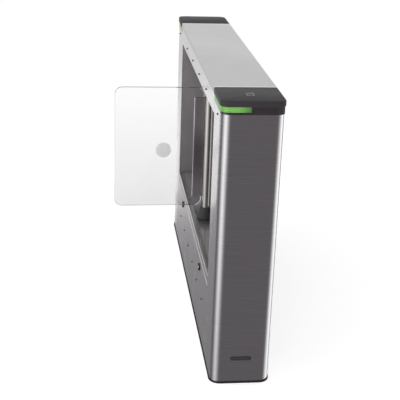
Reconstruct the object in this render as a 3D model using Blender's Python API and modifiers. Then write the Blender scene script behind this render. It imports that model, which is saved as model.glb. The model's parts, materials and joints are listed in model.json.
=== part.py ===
"""Swing barrier turnstile: an end pedestal with one glass wing that swings both ways.

Metres, +Z up. The cabinet stands along Y with its front at -Y, and the lane that the wing
closes is on the -X side. The origin is on the floor, under the middle of the cabinet.
"""
import math

import bmesh
import bpy
from mathutils import Matrix, Vector

OBJECT_NAME = "swing_barrier_turnstile"

# Whole cabinet
BODY_LENGTH = 1.500
BODY_WIDTH = 0.210
BODY_HEIGHT = 1.000
SHEET = 0.002
FIT = 0.0003
CUT_OVERRUN = 0.010
WELD = 0.00001
FLANGE = 0.012

# Base plate
BASE_THICKNESS = 0.004
BASE_INSET = 0.002
ANCHOR_RADIUS = 0.007
ANCHOR_EDGE_X = 0.030
ANCHOR_EDGE_Y = 0.050
CABLE_SLOT_LENGTH = 0.110
CABLE_SLOT_WIDTH = 0.050
CABLE_SLOT_RADIUS = 0.010
CABLE_SLOT_END = 0.280

# Columns, window and door openings
SHELL_INSET = 0.0025
COLUMN_RADIUS = 0.036
FRONT_COLUMN = 0.170
REAR_COLUMN = 0.213
SILL_HEIGHT = 0.3295
HEAD_DROP = 0.086
RAIL_FLANGE = 0.020
SILL_RAIL_HEIGHT = 0.0335
DOOR_REAR_MARGIN = 0.182

# End caps
CAP_LENGTH = 0.181
CAP_HEIGHT = 0.044
CAP_COVER_HEIGHT = 0.0185
CAP_RADIUS = 0.028
CAP_WALL = 0.0025
CAP_EDGE_ROUND = 0.003
BAND_THICKNESS = 0.004
LIGHT_HEIGHT = 0.0175
LIGHT_FRONT_REACH = 0.097
SMOKED_MARGIN = 0.0285
CAP_BASE_WALL = 0.003
DECK_THICKNESS = 0.003
READER_WIDTH = 0.078
READER_LENGTH = 0.100
READER_HEIGHT = 0.010
READER_SETBACK = 0.040

# Lid
LID_EDGE_ROUND = 0.003

# Bare plate on the front face
BADGE_WIDTH = 0.073
BADGE_HEIGHT = 0.013
BADGE_DEPTH = 0.0012
BADGE_LEVEL = 0.0955

# Uprights inside the columns
UPRIGHT_WIDTH = 0.090
UPRIGHT_DEPTH = 0.035
UPRIGHT_SHEET = 0.003
UPRIGHT_SETBACK = 0.070

# Recess that the wing folds into
BACK_PANEL_DEPTH = 0.005
PIVOT_HOLE_RADIUS = 0.011

# Beam sensors
SENSOR_LENS_RADIUS = 0.0032
SENSOR_LENS_PROUD = 0.0006
SENSOR_STRIP_DEPTH = 0.008
SENSOR_STRIP_HEIGHT = 0.018
SENSOR_STRIP_END = 0.014
UPPER_SENSOR_DROP = 0.0635
UPPER_SENSOR_NEAR = 0.115
UPPER_SENSOR_MIDDLE = 0.343
UPPER_SENSOR_END = 0.086
DOOR_SENSOR_LEVEL = 0.1625
DOOR_SENSOR_PITCH = 0.1665
DOOR_SENSORS = 6

# Access door
DOOR_BOTTOM = 0.0063
DOOR_GAP = 0.0015
HINGE_ROLL_RADIUS = 0.0044
HINGE_ROLL_INSET = 0.0045
HINGE_ROD_RADIUS = 0.002
HINGE_BLOCK_LENGTH = 0.014
HINGE_BLOCK_DEPTH = 0.012
HINGE_BLOCK_HEIGHT = 0.012
HINGE_ROD_ENTRY = 0.008

# Cam locks
LOCK_DROP = 0.043
LOCK_SPREAD = 0.329
LOCK_FACE_RADIUS = 0.014
LOCK_FACE_PROUD = 0.0028
LOCK_FACE_CHAMFER = 0.001
LOCK_GROOVE_RADIUS = 0.0112
LOCK_GROOVE_DEPTH = 0.0016
LOCK_BARREL_RADIUS = 0.0085
LOCK_BARREL_LENGTH = 0.015
LOCK_PLUG_RADIUS = 0.006
LOCK_PLUG_SINK = 0.0004
KEYWAY_WIDTH = 0.0016
KEYWAY_LENGTH = 0.0075
KEYWAY_DEPTH = 0.003
CAM_THICKNESS = 0.003
CAM_WIDTH = 0.014
CAM_REACH = 0.045

# Wing
SHAFT_INSET = 0.060
TUBE_RADIUS = 0.0225
TUBE_WALL = 0.003
TUBE_FLOOR_GAP = 0.010
TUBE_TOP_GAP = 0.009
WING_REACH = 0.367
GLASS_THICKNESS = 0.010
GLASS_FLOOR_GAP = 0.0525
GLASS_TOP_GAP = 0.051
GLASS_CORNER = 0.028
GLASS_EDGE_ROUND = 0.001
CLAMP_WIDTH = 0.0395
CLAMP_THICKNESS = 0.004
CLAMP_CORNER = 0.004
CLAMP_EDGE_ROUND = 0.001
CLAMP_END_INSET = 0.0395
GASKET_THICKNESS = 0.001
GASKET_LIP = 0.0015
SCREW_RADIUS = 0.003
SCREW_HEAD_RADIUS = 0.0045
SCREW_HEAD_HEIGHT = 0.002
SCREW_SETBACK = 0.018
SCREW_END = 0.014
SCREW_SOCKET_RADIUS = 0.002
SCREW_SOCKET_DEPTH = 0.0014

# Boot round the foot of the tube
BOOT_HEIGHT = 0.0465
BOOT_FOOT_RADIUS = 0.0385
BOOT_TOP_RADIUS = 0.0252
BOOT_BORE_CLEARANCE = 0.0008
BOOT_LIP = 0.0025
BOOT_FLARE_POWER = 1.6

# Drive under the recess
BRIDGE_PLATE = 0.005
BRIDGE_DROP = 0.115
BRIDGE_LANE_REACH = 0.043
BRIDGE_OUTER_REACH = 0.105
BRIDGE_FRONT_REACH = 0.075
BRIDGE_REAR_REACH = 0.125
BRIDGE_FOOT = 0.030
SHAFT_RADIUS = 0.012
SHAFT_END_RADIUS = 0.008
SHAFT_END_LENGTH = 0.026
SHAFT_PLUG_LENGTH = 0.070
HOUSING_FLANGE_RADIUS = 0.034
HOUSING_FLANGE_HEIGHT = 0.005
HOUSING_BOSS_RADIUS = 0.028
HOUSING_HEIGHT = 0.018
BEARING_RADIUS = 0.0235
BEARING_HEIGHT = 0.012
GEAR_MODULE = 0.0015
GEAR_TEETH = 60
PINION_TEETH = 20
GEAR_BACKLASH = 0.0004
PRESSURE_ANGLE = math.radians(20)
ROOT_DEPTH_SHARE = 1.25
GEAR_FACE = 0.012
GEAR_HUB_RADIUS = 0.020
GEAR_HUB_HEIGHT = 0.007
GEAR_RUN_GAP = 0.004
GEAR_HOLES = 6
GEAR_HOLE_RADIUS = 0.007
GEAR_HOLE_CIRCLE = 0.031
PINION_EXTRA_FACE = 0.001
PINION_SHAFT_RADIUS = 0.006
PINION_HOLE_RADIUS = 0.012
PINION_DIRECTION = math.radians(60)
GEARBOX_RADIUS = 0.028
GEARBOX_LENGTH = 0.056
GEARBOX_FLANGE_HEIGHT = 0.006
GEARBOX_FLANGE_STEP = 0.002
GEARBOX_BORE_DEPTH = 0.022
MOTOR_RADIUS = 0.027
MOTOR_LENGTH = 0.086
MOTOR_CAP_LENGTH = 0.012
MOTOR_CAP_STEP = 0.004
MOTOR_GROOVE = 0.0015
BRAKE_RADIUS = 0.027
BRAKE_COIL_HEIGHT = 0.036
BRAKE_AIR_GAP = 0.002
BRAKE_DISC_HEIGHT = 0.006
ENCODER_RADIUS = 0.024
ENCODER_THICKNESS = 0.002
ENCODER_SLOTS = 18
ENCODER_SLOT_DEPTH = 0.004
ENCODER_TOOTH_SHARE = 0.55
ENCODER_DROP = 0.006
READHEAD_WIDTH = 0.018
READHEAD_HEIGHT = 0.018
READHEAD_SLOT = 0.005
READHEAD_OVERLAP = 0.007

# Stops that end the swing
STOP_HUB_RADIUS = 0.018
STOP_ARM_WIDTH = 0.014
STOP_ARM_REACH = 0.042
STOP_ARM_HEIGHT = 0.010
STOP_RUN_GAP = 0.004
BUFFER_RADIUS = 0.0075
BUFFER_REACH = 0.032
BUFFER_CLEARANCE = 0.0008
BUFFER_STEM_RADIUS = 0.005
BUFFER_FLANGE_RADIUS = 0.011
BUFFER_FLANGE_HEIGHT = 0.003
BUFFER_DROP = 0.002

# Upper pivot of the tube
PIVOT_PLUG_LENGTH = 0.040
PIVOT_FLANGE_HEIGHT = 0.003
PIVOT_PIN_RADIUS = 0.008
PIVOT_PIN_LENGTH = 0.028
PIVOT_BEARING_RADIUS = 0.0175

# Electronics in the foot of the cabinet
CONTROL_LENGTH = 0.240
CONTROL_WIDTH = 0.130
CONTROL_HEIGHT = 0.060
CONTROL_Y = 0.300
SUPPLY_LENGTH = 0.200
SUPPLY_WIDTH = 0.100
SUPPLY_HEIGHT = 0.050
SUPPLY_Y = -0.300
CASE_ROUND = 0.003
CASE_FIN_HEIGHT = 0.004
CASE_FIN_WIDTH = 0.004
CASE_FINS = 7

# Arc and turning steps, edge angle that is rounded
EDGE_ANGLE = math.radians(40)
ROUND_SEGMENTS = 2
CORNER_STEPS = 8
SMALL_CORNER_STEPS = 3
TURN_STEPS = 32
INNER_TURN_STEPS = 24
SMALL_TURN_STEPS = 16
TINY_TURN_STEPS = 12

# Places that follow from the sizes above
FRONT_Y = -BODY_LENGTH / 2
REAR_Y = BODY_LENGTH / 2
WINDOW_FRONT_Y = FRONT_Y + FRONT_COLUMN
WINDOW_REAR_Y = REAR_Y - REAR_COLUMN
DOOR_REAR_Y = REAR_Y - DOOR_REAR_MARGIN
DOOR_CENTRE_Y = (WINDOW_FRONT_Y + DOOR_REAR_Y) / 2
SKIN_X = BODY_WIDTH / 2 - SHELL_INSET
INNER_X = SKIN_X - SHEET
HEAD_HEIGHT = BODY_HEIGHT - HEAD_DROP
DOOR_TOP = SILL_HEIGHT - SILL_RAIL_HEIGHT
LOCK_LEVEL = DOOR_TOP - LOCK_DROP
UPPER_SENSOR_LEVEL = BODY_HEIGHT - UPPER_SENSOR_DROP
UPPER_SENSOR_FAR = REAR_Y - UPPER_SENSOR_END
CAP_LOW = BODY_HEIGHT - CAP_HEIGHT
COVER_LOW = BODY_HEIGHT - CAP_COVER_HEIGHT
CAP_END_Y = REAR_Y - CAP_LENGTH
LIGHT_END_X = LIGHT_FRONT_REACH - BODY_WIDTH / 2
SMOKED_END_X = BODY_WIDTH / 2 - SMOKED_MARGIN
BAND_RADIUS = CAP_RADIUS - SHELL_INSET
SHELL_LOW = BASE_THICKNESS + FIT
SHAFT_X = -BODY_WIDTH / 2 + SHAFT_INSET
SHAFT_Y = (WINDOW_FRONT_Y + WINDOW_REAR_Y) / 2
TUBE_BORE = TUBE_RADIUS - TUBE_WALL
TUBE_BOTTOM = SILL_HEIGHT + TUBE_FLOOR_GAP
TUBE_TOP = HEAD_HEIGHT - TUBE_TOP_GAP
BACK_PANEL_X = INNER_X - FIT - BACK_PANEL_DEPTH
BRIDGE_TOP = SILL_HEIGHT - BRIDGE_DROP
BRIDGE_UNDER = BRIDGE_TOP - BRIDGE_PLATE
HOUSING_LOW = BRIDGE_TOP + FIT
GEAR_LOW = HOUSING_LOW + HOUSING_HEIGHT + GEAR_RUN_GAP
GEAR_RADIUS = GEAR_MODULE * GEAR_TEETH / 2
PINION_RADIUS = GEAR_MODULE * PINION_TEETH / 2
PINION_X = SHAFT_X + (GEAR_RADIUS + PINION_RADIUS) * math.cos(PINION_DIRECTION)
PINION_Y = SHAFT_Y + (GEAR_RADIUS + PINION_RADIUS) * math.sin(PINION_DIRECTION)
STOP_LOW = GEAR_LOW + GEAR_FACE + GEAR_HUB_HEIGHT + STOP_RUN_GAP
GASKET_WEB_X = SHAFT_X - TUBE_RADIUS - FIT
GLASS_INNER_X = GASKET_WEB_X - GASKET_THICKNESS - FIT
GLASS_OUTER_X = SHAFT_X - WING_REACH
GLASS_BOTTOM = SILL_HEIGHT + GLASS_FLOOR_GAP
GLASS_TOP = HEAD_HEIGHT - GLASS_TOP_GAP
GLASS_MIDDLE = (GLASS_BOTTOM + GLASS_TOP) / 2
CLAMP_INNER_OFFSET = GLASS_THICKNESS / 2 + GASKET_THICKNESS + 2 * FIT
CLAMP_OUTER_OFFSET = CLAMP_INNER_OFFSET + CLAMP_THICKNESS
CLAMP_INNER_X = SHAFT_X - math.sqrt(TUBE_RADIUS ** 2 - CLAMP_INNER_OFFSET ** 2) - FIT
SCREW_X = CLAMP_INNER_X - CLAMP_WIDTH + SCREW_SETBACK
HINGE_X = -SKIN_X + HINGE_ROLL_INSET
HINGE_Z = DOOR_BOTTOM + HINGE_ROLL_RADIUS

COLOURS = {
    "brushed_steel": ((0.36, 0.355, 0.36), 0.32, 1.0),
    "lid_steel": ((0.60, 0.60, 0.605), 0.38, 1.0),
    "polished_steel": ((0.72, 0.71, 0.70), 0.14, 1.0),
    "zinc_steel": ((0.50, 0.51, 0.52), 0.42, 1.0),
    "recess_sheet": ((0.115, 0.113, 0.115), 0.45, 0.6),
    "cap_plastic": ((0.075, 0.071, 0.076), 0.50, 0.0),
    "smoked_plastic": ((0.020, 0.017, 0.019), 0.12, 0.0),
    "green_light": ((0.16, 0.55, 0.10), 0.35, 0.0),
    "boot_rubber": ((0.045, 0.042, 0.043), 0.62, 0.0),
    "clamp_steel": ((0.15, 0.145, 0.148), 0.34, 0.9),
    "glass": ((0.86, 0.90, 0.90), 0.04, 0.0),
    "dark_housing": ((0.03, 0.03, 0.032), 0.40, 0.0),
    "circuit_green": ((0.03, 0.16, 0.07), 0.50, 0.0),
    "cast_aluminium": ((0.55, 0.55, 0.56), 0.48, 0.9),
}


def clear_scene():
    """Removes what the scene holds before the model is made."""
    for leftover in list(bpy.data.objects):
        bpy.data.objects.remove(leftover, do_unlink=True)


def make_collection(name):
    """A collection in the scene."""
    made = bpy.data.collections.new(name)
    bpy.context.scene.collection.children.link(made)
    return made


def make_material(name):
    """A Principled material from the colour table."""
    colour, roughness, metallic = COLOURS[name]
    made = bpy.data.materials.new(name)
    made.use_nodes = True
    shader = made.node_tree.nodes["Principled BSDF"]
    shader.inputs["Base Color"].default_value = (*colour, 1)
    shader.inputs["Roughness"].default_value = roughness
    shader.inputs["Metallic"].default_value = metallic
    made.diffuse_color = (*colour, 1)
    return made


clear_scene()
PARTS = make_collection(OBJECT_NAME)
CUTTERS = make_collection("cutters")
MATERIALS = {name: make_material(name) for name in COLOURS}


def add_object(name, mesh, material, location=(0, 0, 0), parent=None):
    """Puts a mesh in the parts collection under its node name."""
    made = bpy.data.objects.new(name, mesh)
    PARTS.objects.link(made)
    made.location = location
    mesh.materials.append(MATERIALS[material])
    mesh.shade_smooth()
    mesh.set_sharp_from_angle(angle=EDGE_ANGLE)
    if parent:
        made.parent = parent
        made.location = Vector(location) - parent.location
    return made


def as_cutter(made):
    """Moves a helper solid to the cutters, out of the render and the build."""
    PARTS.objects.unlink(made)
    CUTTERS.objects.link(made)
    made.hide_render = True
    made.display_type = "WIRE"
    return made


def joint_empty(name, location, parent=None):
    """An empty on a joint's axis, which carries what moves with it."""
    made = bpy.data.objects.new(name, None)
    PARTS.objects.link(made)
    made.location = location
    if parent:
        made.parent = parent
        made.location = Vector(location) - parent.location
    return made


def boolean(made, other, operation="DIFFERENCE"):
    """Cuts a solid with another one, or joins the other one to it."""
    modifier = made.modifiers.new(operation.lower(), "BOOLEAN")
    modifier.operation = operation
    modifier.object = as_cutter(other)


def mesh_from(bm, name):
    """Ends a bmesh as a mesh."""
    mesh = bpy.data.meshes.new(name)
    bm.to_mesh(mesh)
    bm.free()
    return mesh


def box(name, low, high, material, parent=None, edge_round=0.0):
    """A box between two corners, with its edges rounded where asked."""
    size = Vector(high) - Vector(low)
    centre = (Vector(high) + Vector(low)) / 2
    bm = bmesh.new()
    bmesh.ops.create_cube(bm, size=1, matrix=Matrix.Diagonal((*size, 1)))
    made = add_object(name, mesh_from(bm, name), material, centre, parent)
    if edge_round:
        rounding = made.modifiers.new("round", "BEVEL")
        rounding.width = edge_round
        rounding.segments = ROUND_SEGMENTS
    return made


def tray(name, low, high, open_sides, material, parent=None, edge_round=0.0, wall=SHEET):
    """A folded sheet tray: a box without the named sides, thickened inward."""
    size = Vector(high) - Vector(low)
    centre = (Vector(high) + Vector(low)) / 2
    bm = bmesh.new()
    bmesh.ops.create_cube(bm, size=1, matrix=Matrix.Diagonal((*size, 1)))
    normals = {"+X": (1, 0, 0), "-X": (-1, 0, 0), "+Y": (0, 1, 0), "-Y": (0, -1, 0),
               "+Z": (0, 0, 1), "-Z": (0, 0, -1)}
    for face in list(bm.faces):
        face.normal_update()
        if any(face.normal.dot(Vector(normals[side])) > 0.5 for side in open_sides):
            bm.faces.remove(face)
    made = add_object(name, mesh_from(bm, name), material, centre, parent)
    if edge_round:
        rounding = made.modifiers.new("fold", "BEVEL")
        rounding.width = edge_round
        rounding.segments = ROUND_SEGMENTS
    thicken(made, wall)
    return made


def thicken(made, wall, offset=-1):
    """Gives an open surface its sheet thickness."""
    modifier = made.modifiers.new("sheet", "SOLIDIFY")
    modifier.thickness = wall
    modifier.offset = offset
    modifier.use_even_offset = True


def arc_corner(before, corner, after, radius, steps):
    """Points of a round corner between two straight runs."""
    corner = Vector(corner)
    to_before = (Vector(before) - corner).normalized()
    to_after = (Vector(after) - corner).normalized()
    half = to_before.angle(to_after) / 2
    centre = corner + (to_before + to_after).normalized() * (radius / math.sin(half))
    start = corner + to_before * (radius / math.tan(half)) - centre
    end = corner + to_after * (radius / math.tan(half)) - centre
    turn = start.angle_signed(end)
    points = []
    for step in range(steps + 1):
        angle = -turn * step / steps
        spun = Matrix.Rotation(angle, 2) @ start
        points.append(tuple(centre + spun))
    return points


def rounded_path(corners, closed=True, steps=CORNER_STEPS):
    """A path through corners given as x, y and corner radius."""
    points = []
    count = len(corners)
    for index, (x, y, radius) in enumerate(corners):
        if not radius:
            points.append((x, y))
            continue
        before = corners[index - 1][:2]
        after = corners[(index + 1) % count][:2]
        points.extend(arc_corner(before, (x, y), after, radius, steps))
    return points


def circle(radius, centre=(0, 0), steps=TINY_TURN_STEPS):
    """A round outline."""
    return [(centre[0] + radius * math.cos(2 * math.pi * k / steps),
             centre[1] + radius * math.sin(2 * math.pi * k / steps)) for k in range(steps)]


def curve_mesh(name, loops, depth, fill="BOTH", closed=True):
    """A flat curve given its depth and turned into a welded mesh."""
    curve = bpy.data.curves.new(name, "CURVE")
    curve.dimensions = "2D"
    curve.fill_mode = fill
    curve.extrude = depth / 2
    for loop in loops:
        spline = curve.splines.new("POLY")
        spline.points.add(len(loop) - 1)
        for point, (x, y) in zip(spline.points, loop):
            point.co = (x, y, 0, 1)
        spline.use_cyclic_u = closed
    drawn = bpy.data.objects.new(name, curve)
    bpy.context.scene.collection.objects.link(drawn)
    evaluated = drawn.evaluated_get(bpy.context.evaluated_depsgraph_get())
    mesh = bpy.data.meshes.new_from_object(evaluated)
    bpy.data.objects.remove(drawn)
    bpy.data.curves.remove(curve)
    bm = bmesh.new()
    bm.from_mesh(mesh)
    bmesh.ops.remove_doubles(bm, verts=bm.verts, dist=WELD)
    if len(loops) == 1 and closed:
        bmesh.ops.dissolve_limit(bm, angle_limit=math.radians(1), verts=bm.verts, edges=bm.edges)
    bmesh.ops.recalc_face_normals(bm, faces=bm.faces)
    bm.to_mesh(mesh)
    bm.free()
    mesh.materials.clear()
    return mesh


def plate(name, loops, low, high, material, parent=None, origin=(0, 0)):
    """A flat outline with its holes, between two levels, its origin on a point of the plan."""
    shifted = [[(x - origin[0], y - origin[1]) for x, y in loop] for loop in loops]
    mesh = curve_mesh(name, shifted, high - low)
    return add_object(name, mesh, material, (*origin, (low + high) / 2), parent)


def upright_plate(name, loops, front, rear, material, parent, origin):
    """A plate that stands across the lane: outlines in X and Z, between two Y faces."""
    shifted = [[(x - origin[0], z - origin[1]) for x, z in loop] for loop in loops]
    mesh = curve_mesh(name, shifted, rear - front)
    made = add_object(name, mesh, material, (origin[0], (front + rear) / 2, origin[1]), parent)
    made.rotation_euler = (math.pi / 2, 0, 0)
    return made


def wall(name, path, low, high, thickness, material, parent=None):
    """A standing sheet along an open path, thickened to the left of the path."""
    mesh = curve_mesh(name, [path], high - low, "NONE", closed=False)
    made = add_object(name, mesh, material, (0, 0, (low + high) / 2), parent)
    start = Vector((*path[0], 0))
    along = Vector((*path[1], 0)) - start
    left = Vector((-along.y, along.x, 0))
    first = min(mesh.polygons, key=lambda face: (face.center - start - along / 2).length)
    thicken(made, thickness, 1 if first.normal.dot(left) > 0 else -1)
    return made


def turned(name, profile, location, material, parent=None, direction=(0, 0, 1),
           steps=INNER_TURN_STEPS, ring=False):
    """A turned piece: radius and height pairs, down its outer side and, on a ring, up its bore."""
    bm = bmesh.new()
    verts = [bm.verts.new((radius, 0, height)) for radius, height in profile]
    pairs = list(zip(verts, verts[1:]))
    if ring:
        pairs.append((verts[-1], verts[0]))
    for first, second in pairs:
        bm.edges.new((first, second))
    mesh = mesh_from(bm, name)
    made = add_object(name, mesh, material, location, parent)
    made.rotation_euler = Vector((0, 0, 1)).rotation_difference(Vector(direction)).to_euler()
    screw = made.modifiers.new("turn", "SCREW")
    screw.axis = "Z"
    screw.steps = steps
    screw.render_steps = steps
    screw.use_merge_vertices = True
    screw.merge_threshold = WELD
    screw.use_smooth_shade = True
    return made


def cylinder_cut(name, radius, start, end, steps=SMALL_TURN_STEPS):
    """A round cutter between two points."""
    start = Vector(start)
    end = Vector(end)
    length = (end - start).length
    bm = bmesh.new()
    bmesh.ops.create_cone(bm, cap_ends=True, segments=steps, radius1=radius, radius2=radius,
                          depth=length)
    made = add_object(name, mesh_from(bm, name), "zinc_steel", (start + end) / 2)
    made.rotation_euler = Vector((0, 0, 1)).rotation_difference(end - start).to_euler()
    return made


def mirrored(path, end):
    """The front end's path as it is, or turned over to the rear end with its sense kept."""
    if end < 0:
        return path
    return [(x, -y) for x, y in reversed(path)]


def make_base_plate():
    """Floor plate with anchor holes and two cable slots."""
    half_x = SKIN_X - BASE_INSET
    half_y = REAR_Y - SHELL_INSET - BASE_INSET
    radius = COLUMN_RADIUS - BASE_INSET
    corners = [(-half_x, -half_y, radius), (half_x, -half_y, radius),
               (half_x, half_y, radius), (-half_x, half_y, radius)]
    loops = [rounded_path(corners, steps=SMALL_CORNER_STEPS)]
    for side_x in (-1, 1):
        for side_y in (-1, 1):
            centre = (side_x * (half_x - ANCHOR_EDGE_X), side_y * (half_y - ANCHOR_EDGE_Y))
            loops.append(circle(ANCHOR_RADIUS, centre))
    slot_x = CABLE_SLOT_WIDTH / 2
    slot_y = CABLE_SLOT_LENGTH / 2
    for side_y in (-1, 1):
        middle = side_y * (REAR_Y - CABLE_SLOT_END)
        slot = [(-slot_x, middle - slot_y), (slot_x, middle - slot_y),
                (slot_x, middle + slot_y), (-slot_x, middle + slot_y)]
        rounded = [(x, y, CABLE_SLOT_RADIUS) for x, y in slot]
        loops.append(rounded_path(rounded, steps=SMALL_CORNER_STEPS))
    plate("base_plate", loops, 0, BASE_THICKNESS, "dark_housing")


def column_path(inset, radius, end_y):
    """The plan of a column's bent sheet, from the lane side round the end to the outer side."""
    half = BODY_WIDTH / 2 - inset
    end = FRONT_Y + inset
    corners = [(-half, end_y, 0), (-half, end, radius), (half, end, radius), (half, end_y, 0)]
    return rounded_path(corners, closed=False)


def make_columns():
    """The two bent column shells, the rear one notched for the door and the cap."""
    front = wall("front_column_shell", column_path(SHELL_INSET, COLUMN_RADIUS, WINDOW_FRONT_Y),
                 SHELL_LOW, CAP_LOW - FIT, SHEET, "brushed_steel")
    rear = wall("rear_column_shell",
                mirrored(column_path(SHELL_INSET, COLUMN_RADIUS, -WINDOW_REAR_Y), 1),
                SHELL_LOW, COVER_LOW - FIT, SHEET, "brushed_steel")
    door_notch = box("door_notch", (-SKIN_X - CUT_OVERRUN, WINDOW_REAR_Y - CUT_OVERRUN, 0),
                     (-INNER_X + CUT_OVERRUN, DOOR_REAR_Y, DOOR_TOP), "brushed_steel")
    cap_notch = box("cap_notch", (-BODY_WIDTH, CAP_END_Y - FIT, CAP_LOW - FIT),
                    (BODY_WIDTH, BODY_LENGTH, BODY_HEIGHT + CUT_OVERRUN), "brushed_steel")
    boolean(rear, door_notch)
    boolean(rear, cap_notch)
    for shell, y in ((front, -UPPER_SENSOR_FAR), (rear, UPPER_SENSOR_FAR)):
        boolean(shell, sensor_hole(y, UPPER_SENSOR_LEVEL))


def sensor_hole(y, level):
    """Cutter for one lens hole in the lane side."""
    return cylinder_cut("sensor_hole", SENSOR_LENS_RADIUS + FIT,
                        (-SKIN_X - CUT_OVERRUN, y, level), (-INNER_X + SHEET, y, level),
                        TINY_TURN_STEPS)


def rail(name, low, high, lower_flange, upper_flange):
    """A folded rail of the lane side between the columns."""
    front = WINDOW_FRONT_Y + FIT
    rear = WINDOW_REAR_Y - FIT
    profile = [(-SKIN_X + lower_flange, low), (-SKIN_X, low), (-SKIN_X, high),
               (-SKIN_X + upper_flange, high)]
    mesh = curve_mesh(name, [profile], rear - front, "NONE", closed=False)
    made = add_object(name, mesh, "brushed_steel", (0, (front + rear) / 2, 0))
    made.rotation_euler = (math.pi / 2, 0, 0)
    middle = next(face for face in mesh.polygons if abs(face.normal.x) > 0.5)
    thicken(made, SHEET, -1 if middle.normal.x < 0 else 1)
    return made


def make_rails():
    """The rails above and below the window."""
    upper = rail("upper_rail", HEAD_HEIGHT, COVER_LOW - FIT, RAIL_FLANGE, FLANGE)
    cap_notch = box("rail_cap_notch", (-BODY_WIDTH, FRONT_Y, CAP_LOW - FIT),
                    (BODY_WIDTH, -CAP_END_Y + FIT, BODY_HEIGHT), "brushed_steel")
    boolean(upper, cap_notch)
    for distance in (UPPER_SENSOR_NEAR, UPPER_SENSOR_MIDDLE):
        for side in (-1, 1):
            boolean(upper, sensor_hole(side * distance, UPPER_SENSOR_LEVEL))
    rail("sill_rail", DOOR_TOP, SILL_HEIGHT, FLANGE, RAIL_FLANGE)


def make_outer_panel():
    """The closed outer side of the cabinet."""
    made = tray("outer_side_panel", (SKIN_X - FLANGE, WINDOW_FRONT_Y + FIT, SHELL_LOW),
                (SKIN_X, WINDOW_REAR_Y - FIT, COVER_LOW - FIT), ("-X", "+Y", "-Y"), "brushed_steel")
    notch = box("panel_cap_notch", (0, FRONT_Y, CAP_LOW - FIT),
                (BODY_WIDTH, -CAP_END_Y + FIT, BODY_HEIGHT), "brushed_steel")
    boolean(made, notch)


def make_lid():
    """The folded lid between the caps."""
    reach = CAP_END_Y - FIT
    tray("top_lid", (-BODY_WIDTH / 2, -reach, COVER_LOW), (BODY_WIDTH / 2, reach, BODY_HEIGHT),
         ("-Z",), "lid_steel", edge_round=LID_EDGE_ROUND)


def cap_outline():
    """Plan of the front cap: round at the two outer corners, straight where it meets the lid."""
    half = BODY_WIDTH / 2
    corners = [(-half, -CAP_END_Y, 0), (-half, FRONT_Y, CAP_RADIUS), (half, FRONT_Y, CAP_RADIUS),
               (half, -CAP_END_Y, 0)]
    return rounded_path(corners)


def make_cap_cover(label, end):
    """The shell on top of a cap, open below."""
    name = label + "_cap_cover"
    outline = mirrored(cap_outline(), end)
    mesh = curve_mesh(name, [outline], CAP_COVER_HEIGHT)
    bm = bmesh.new()
    bm.from_mesh(mesh)
    bm.normal_update()
    underside = [face for face in bm.faces if face.normal.z < -0.5]
    bmesh.ops.delete(bm, geom=underside, context="FACES_ONLY")
    bm.to_mesh(mesh)
    bm.free()
    made = add_object(name, mesh, "cap_plastic", (0, 0, (COVER_LOW + BODY_HEIGHT) / 2))
    rounding = made.modifiers.new("round", "BEVEL")
    rounding.width = CAP_EDGE_ROUND
    rounding.segments = ROUND_SEGMENTS
    rounding.angle_limit = EDGE_ANGLE
    thicken(made, CAP_WALL)
    return made


def band_path(start_x, stop_x):
    """The lane side and front of a cap's lower band, or its outer corner, as an open path."""
    half = SKIN_X
    end = FRONT_Y + SHELL_INSET
    rear = -CAP_END_Y - FIT
    lane = [(-half, rear, 0), (-half, end, BAND_RADIUS), (stop_x, end, 0)]
    outer = [(start_x, end, 0), (half, end, BAND_RADIUS), (half, rear, 0)]
    return rounded_path(lane, closed=False), rounded_path(outer, closed=False)


def make_cap_band(label, end):
    """The smoked band and light strip on the lane side, and the plain base on the other."""
    top = COVER_LOW - FIT
    light_low = top - LIGHT_HEIGHT
    light_path = band_path(LIGHT_END_X, LIGHT_END_X)[0]
    smoked_path = band_path(SMOKED_END_X, SMOKED_END_X)[0]
    base_path = band_path(SMOKED_END_X + FIT, SMOKED_END_X)[1]
    wall(label + "_light_strip", mirrored(light_path, end), light_low, top, BAND_THICKNESS,
         "green_light")
    smoked = wall(label + "_smoked_band", mirrored(smoked_path, end), CAP_LOW, top, BAND_THICKNESS,
                  "smoked_plastic")
    reach = BODY_WIDTH
    front_cut = box("light_cut", (-reach, FRONT_Y - CUT_OVERRUN, light_low - FIT),
                    (LIGHT_END_X + FIT, -CAP_END_Y + CUT_OVERRUN, BODY_HEIGHT), "smoked_plastic")
    if end > 0:
        front_cut.location.y = -front_cut.location.y
    boolean(smoked, front_cut)
    base = wall(label + "_cap_base", mirrored(base_path, end), CAP_LOW, top, CAP_BASE_WALL, "cap_plastic")
    boolean(base, cap_deck(end), "UNION")


def cap_deck(end):
    """The floor of a cap, which closes the top of its column."""
    inset = BAND_THICKNESS + FIT
    lane = -SKIN_X + inset
    outer = SKIN_X - CAP_BASE_WALL / 2
    front = FRONT_Y + SHELL_INSET + inset
    rear = -CAP_END_Y - FIT
    corners = [(lane, rear, 0), (lane, front, BAND_RADIUS - inset),
               (outer, front, BAND_RADIUS - inset), (outer, rear, 0)]
    outline = mirrored(rounded_path(corners, steps=SMALL_CORNER_STEPS), end)
    return plate("cap_deck", [outline], CAP_LOW, CAP_LOW + DECK_THICKNESS, "cap_plastic")


def make_caps():
    """Both end caps, and the card reader under the front one."""
    for label, end in (("front", -1), ("rear", 1)):
        make_cap_cover(label, end)
        make_cap_band(label, end)
    under = BODY_HEIGHT - CAP_WALL - FIT
    front = FRONT_Y + READER_SETBACK
    box("card_reader", (-READER_WIDTH / 2, front, under - READER_HEIGHT),
        (READER_WIDTH / 2, front + READER_LENGTH, under), "dark_housing", edge_round=CASE_ROUND)


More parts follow.
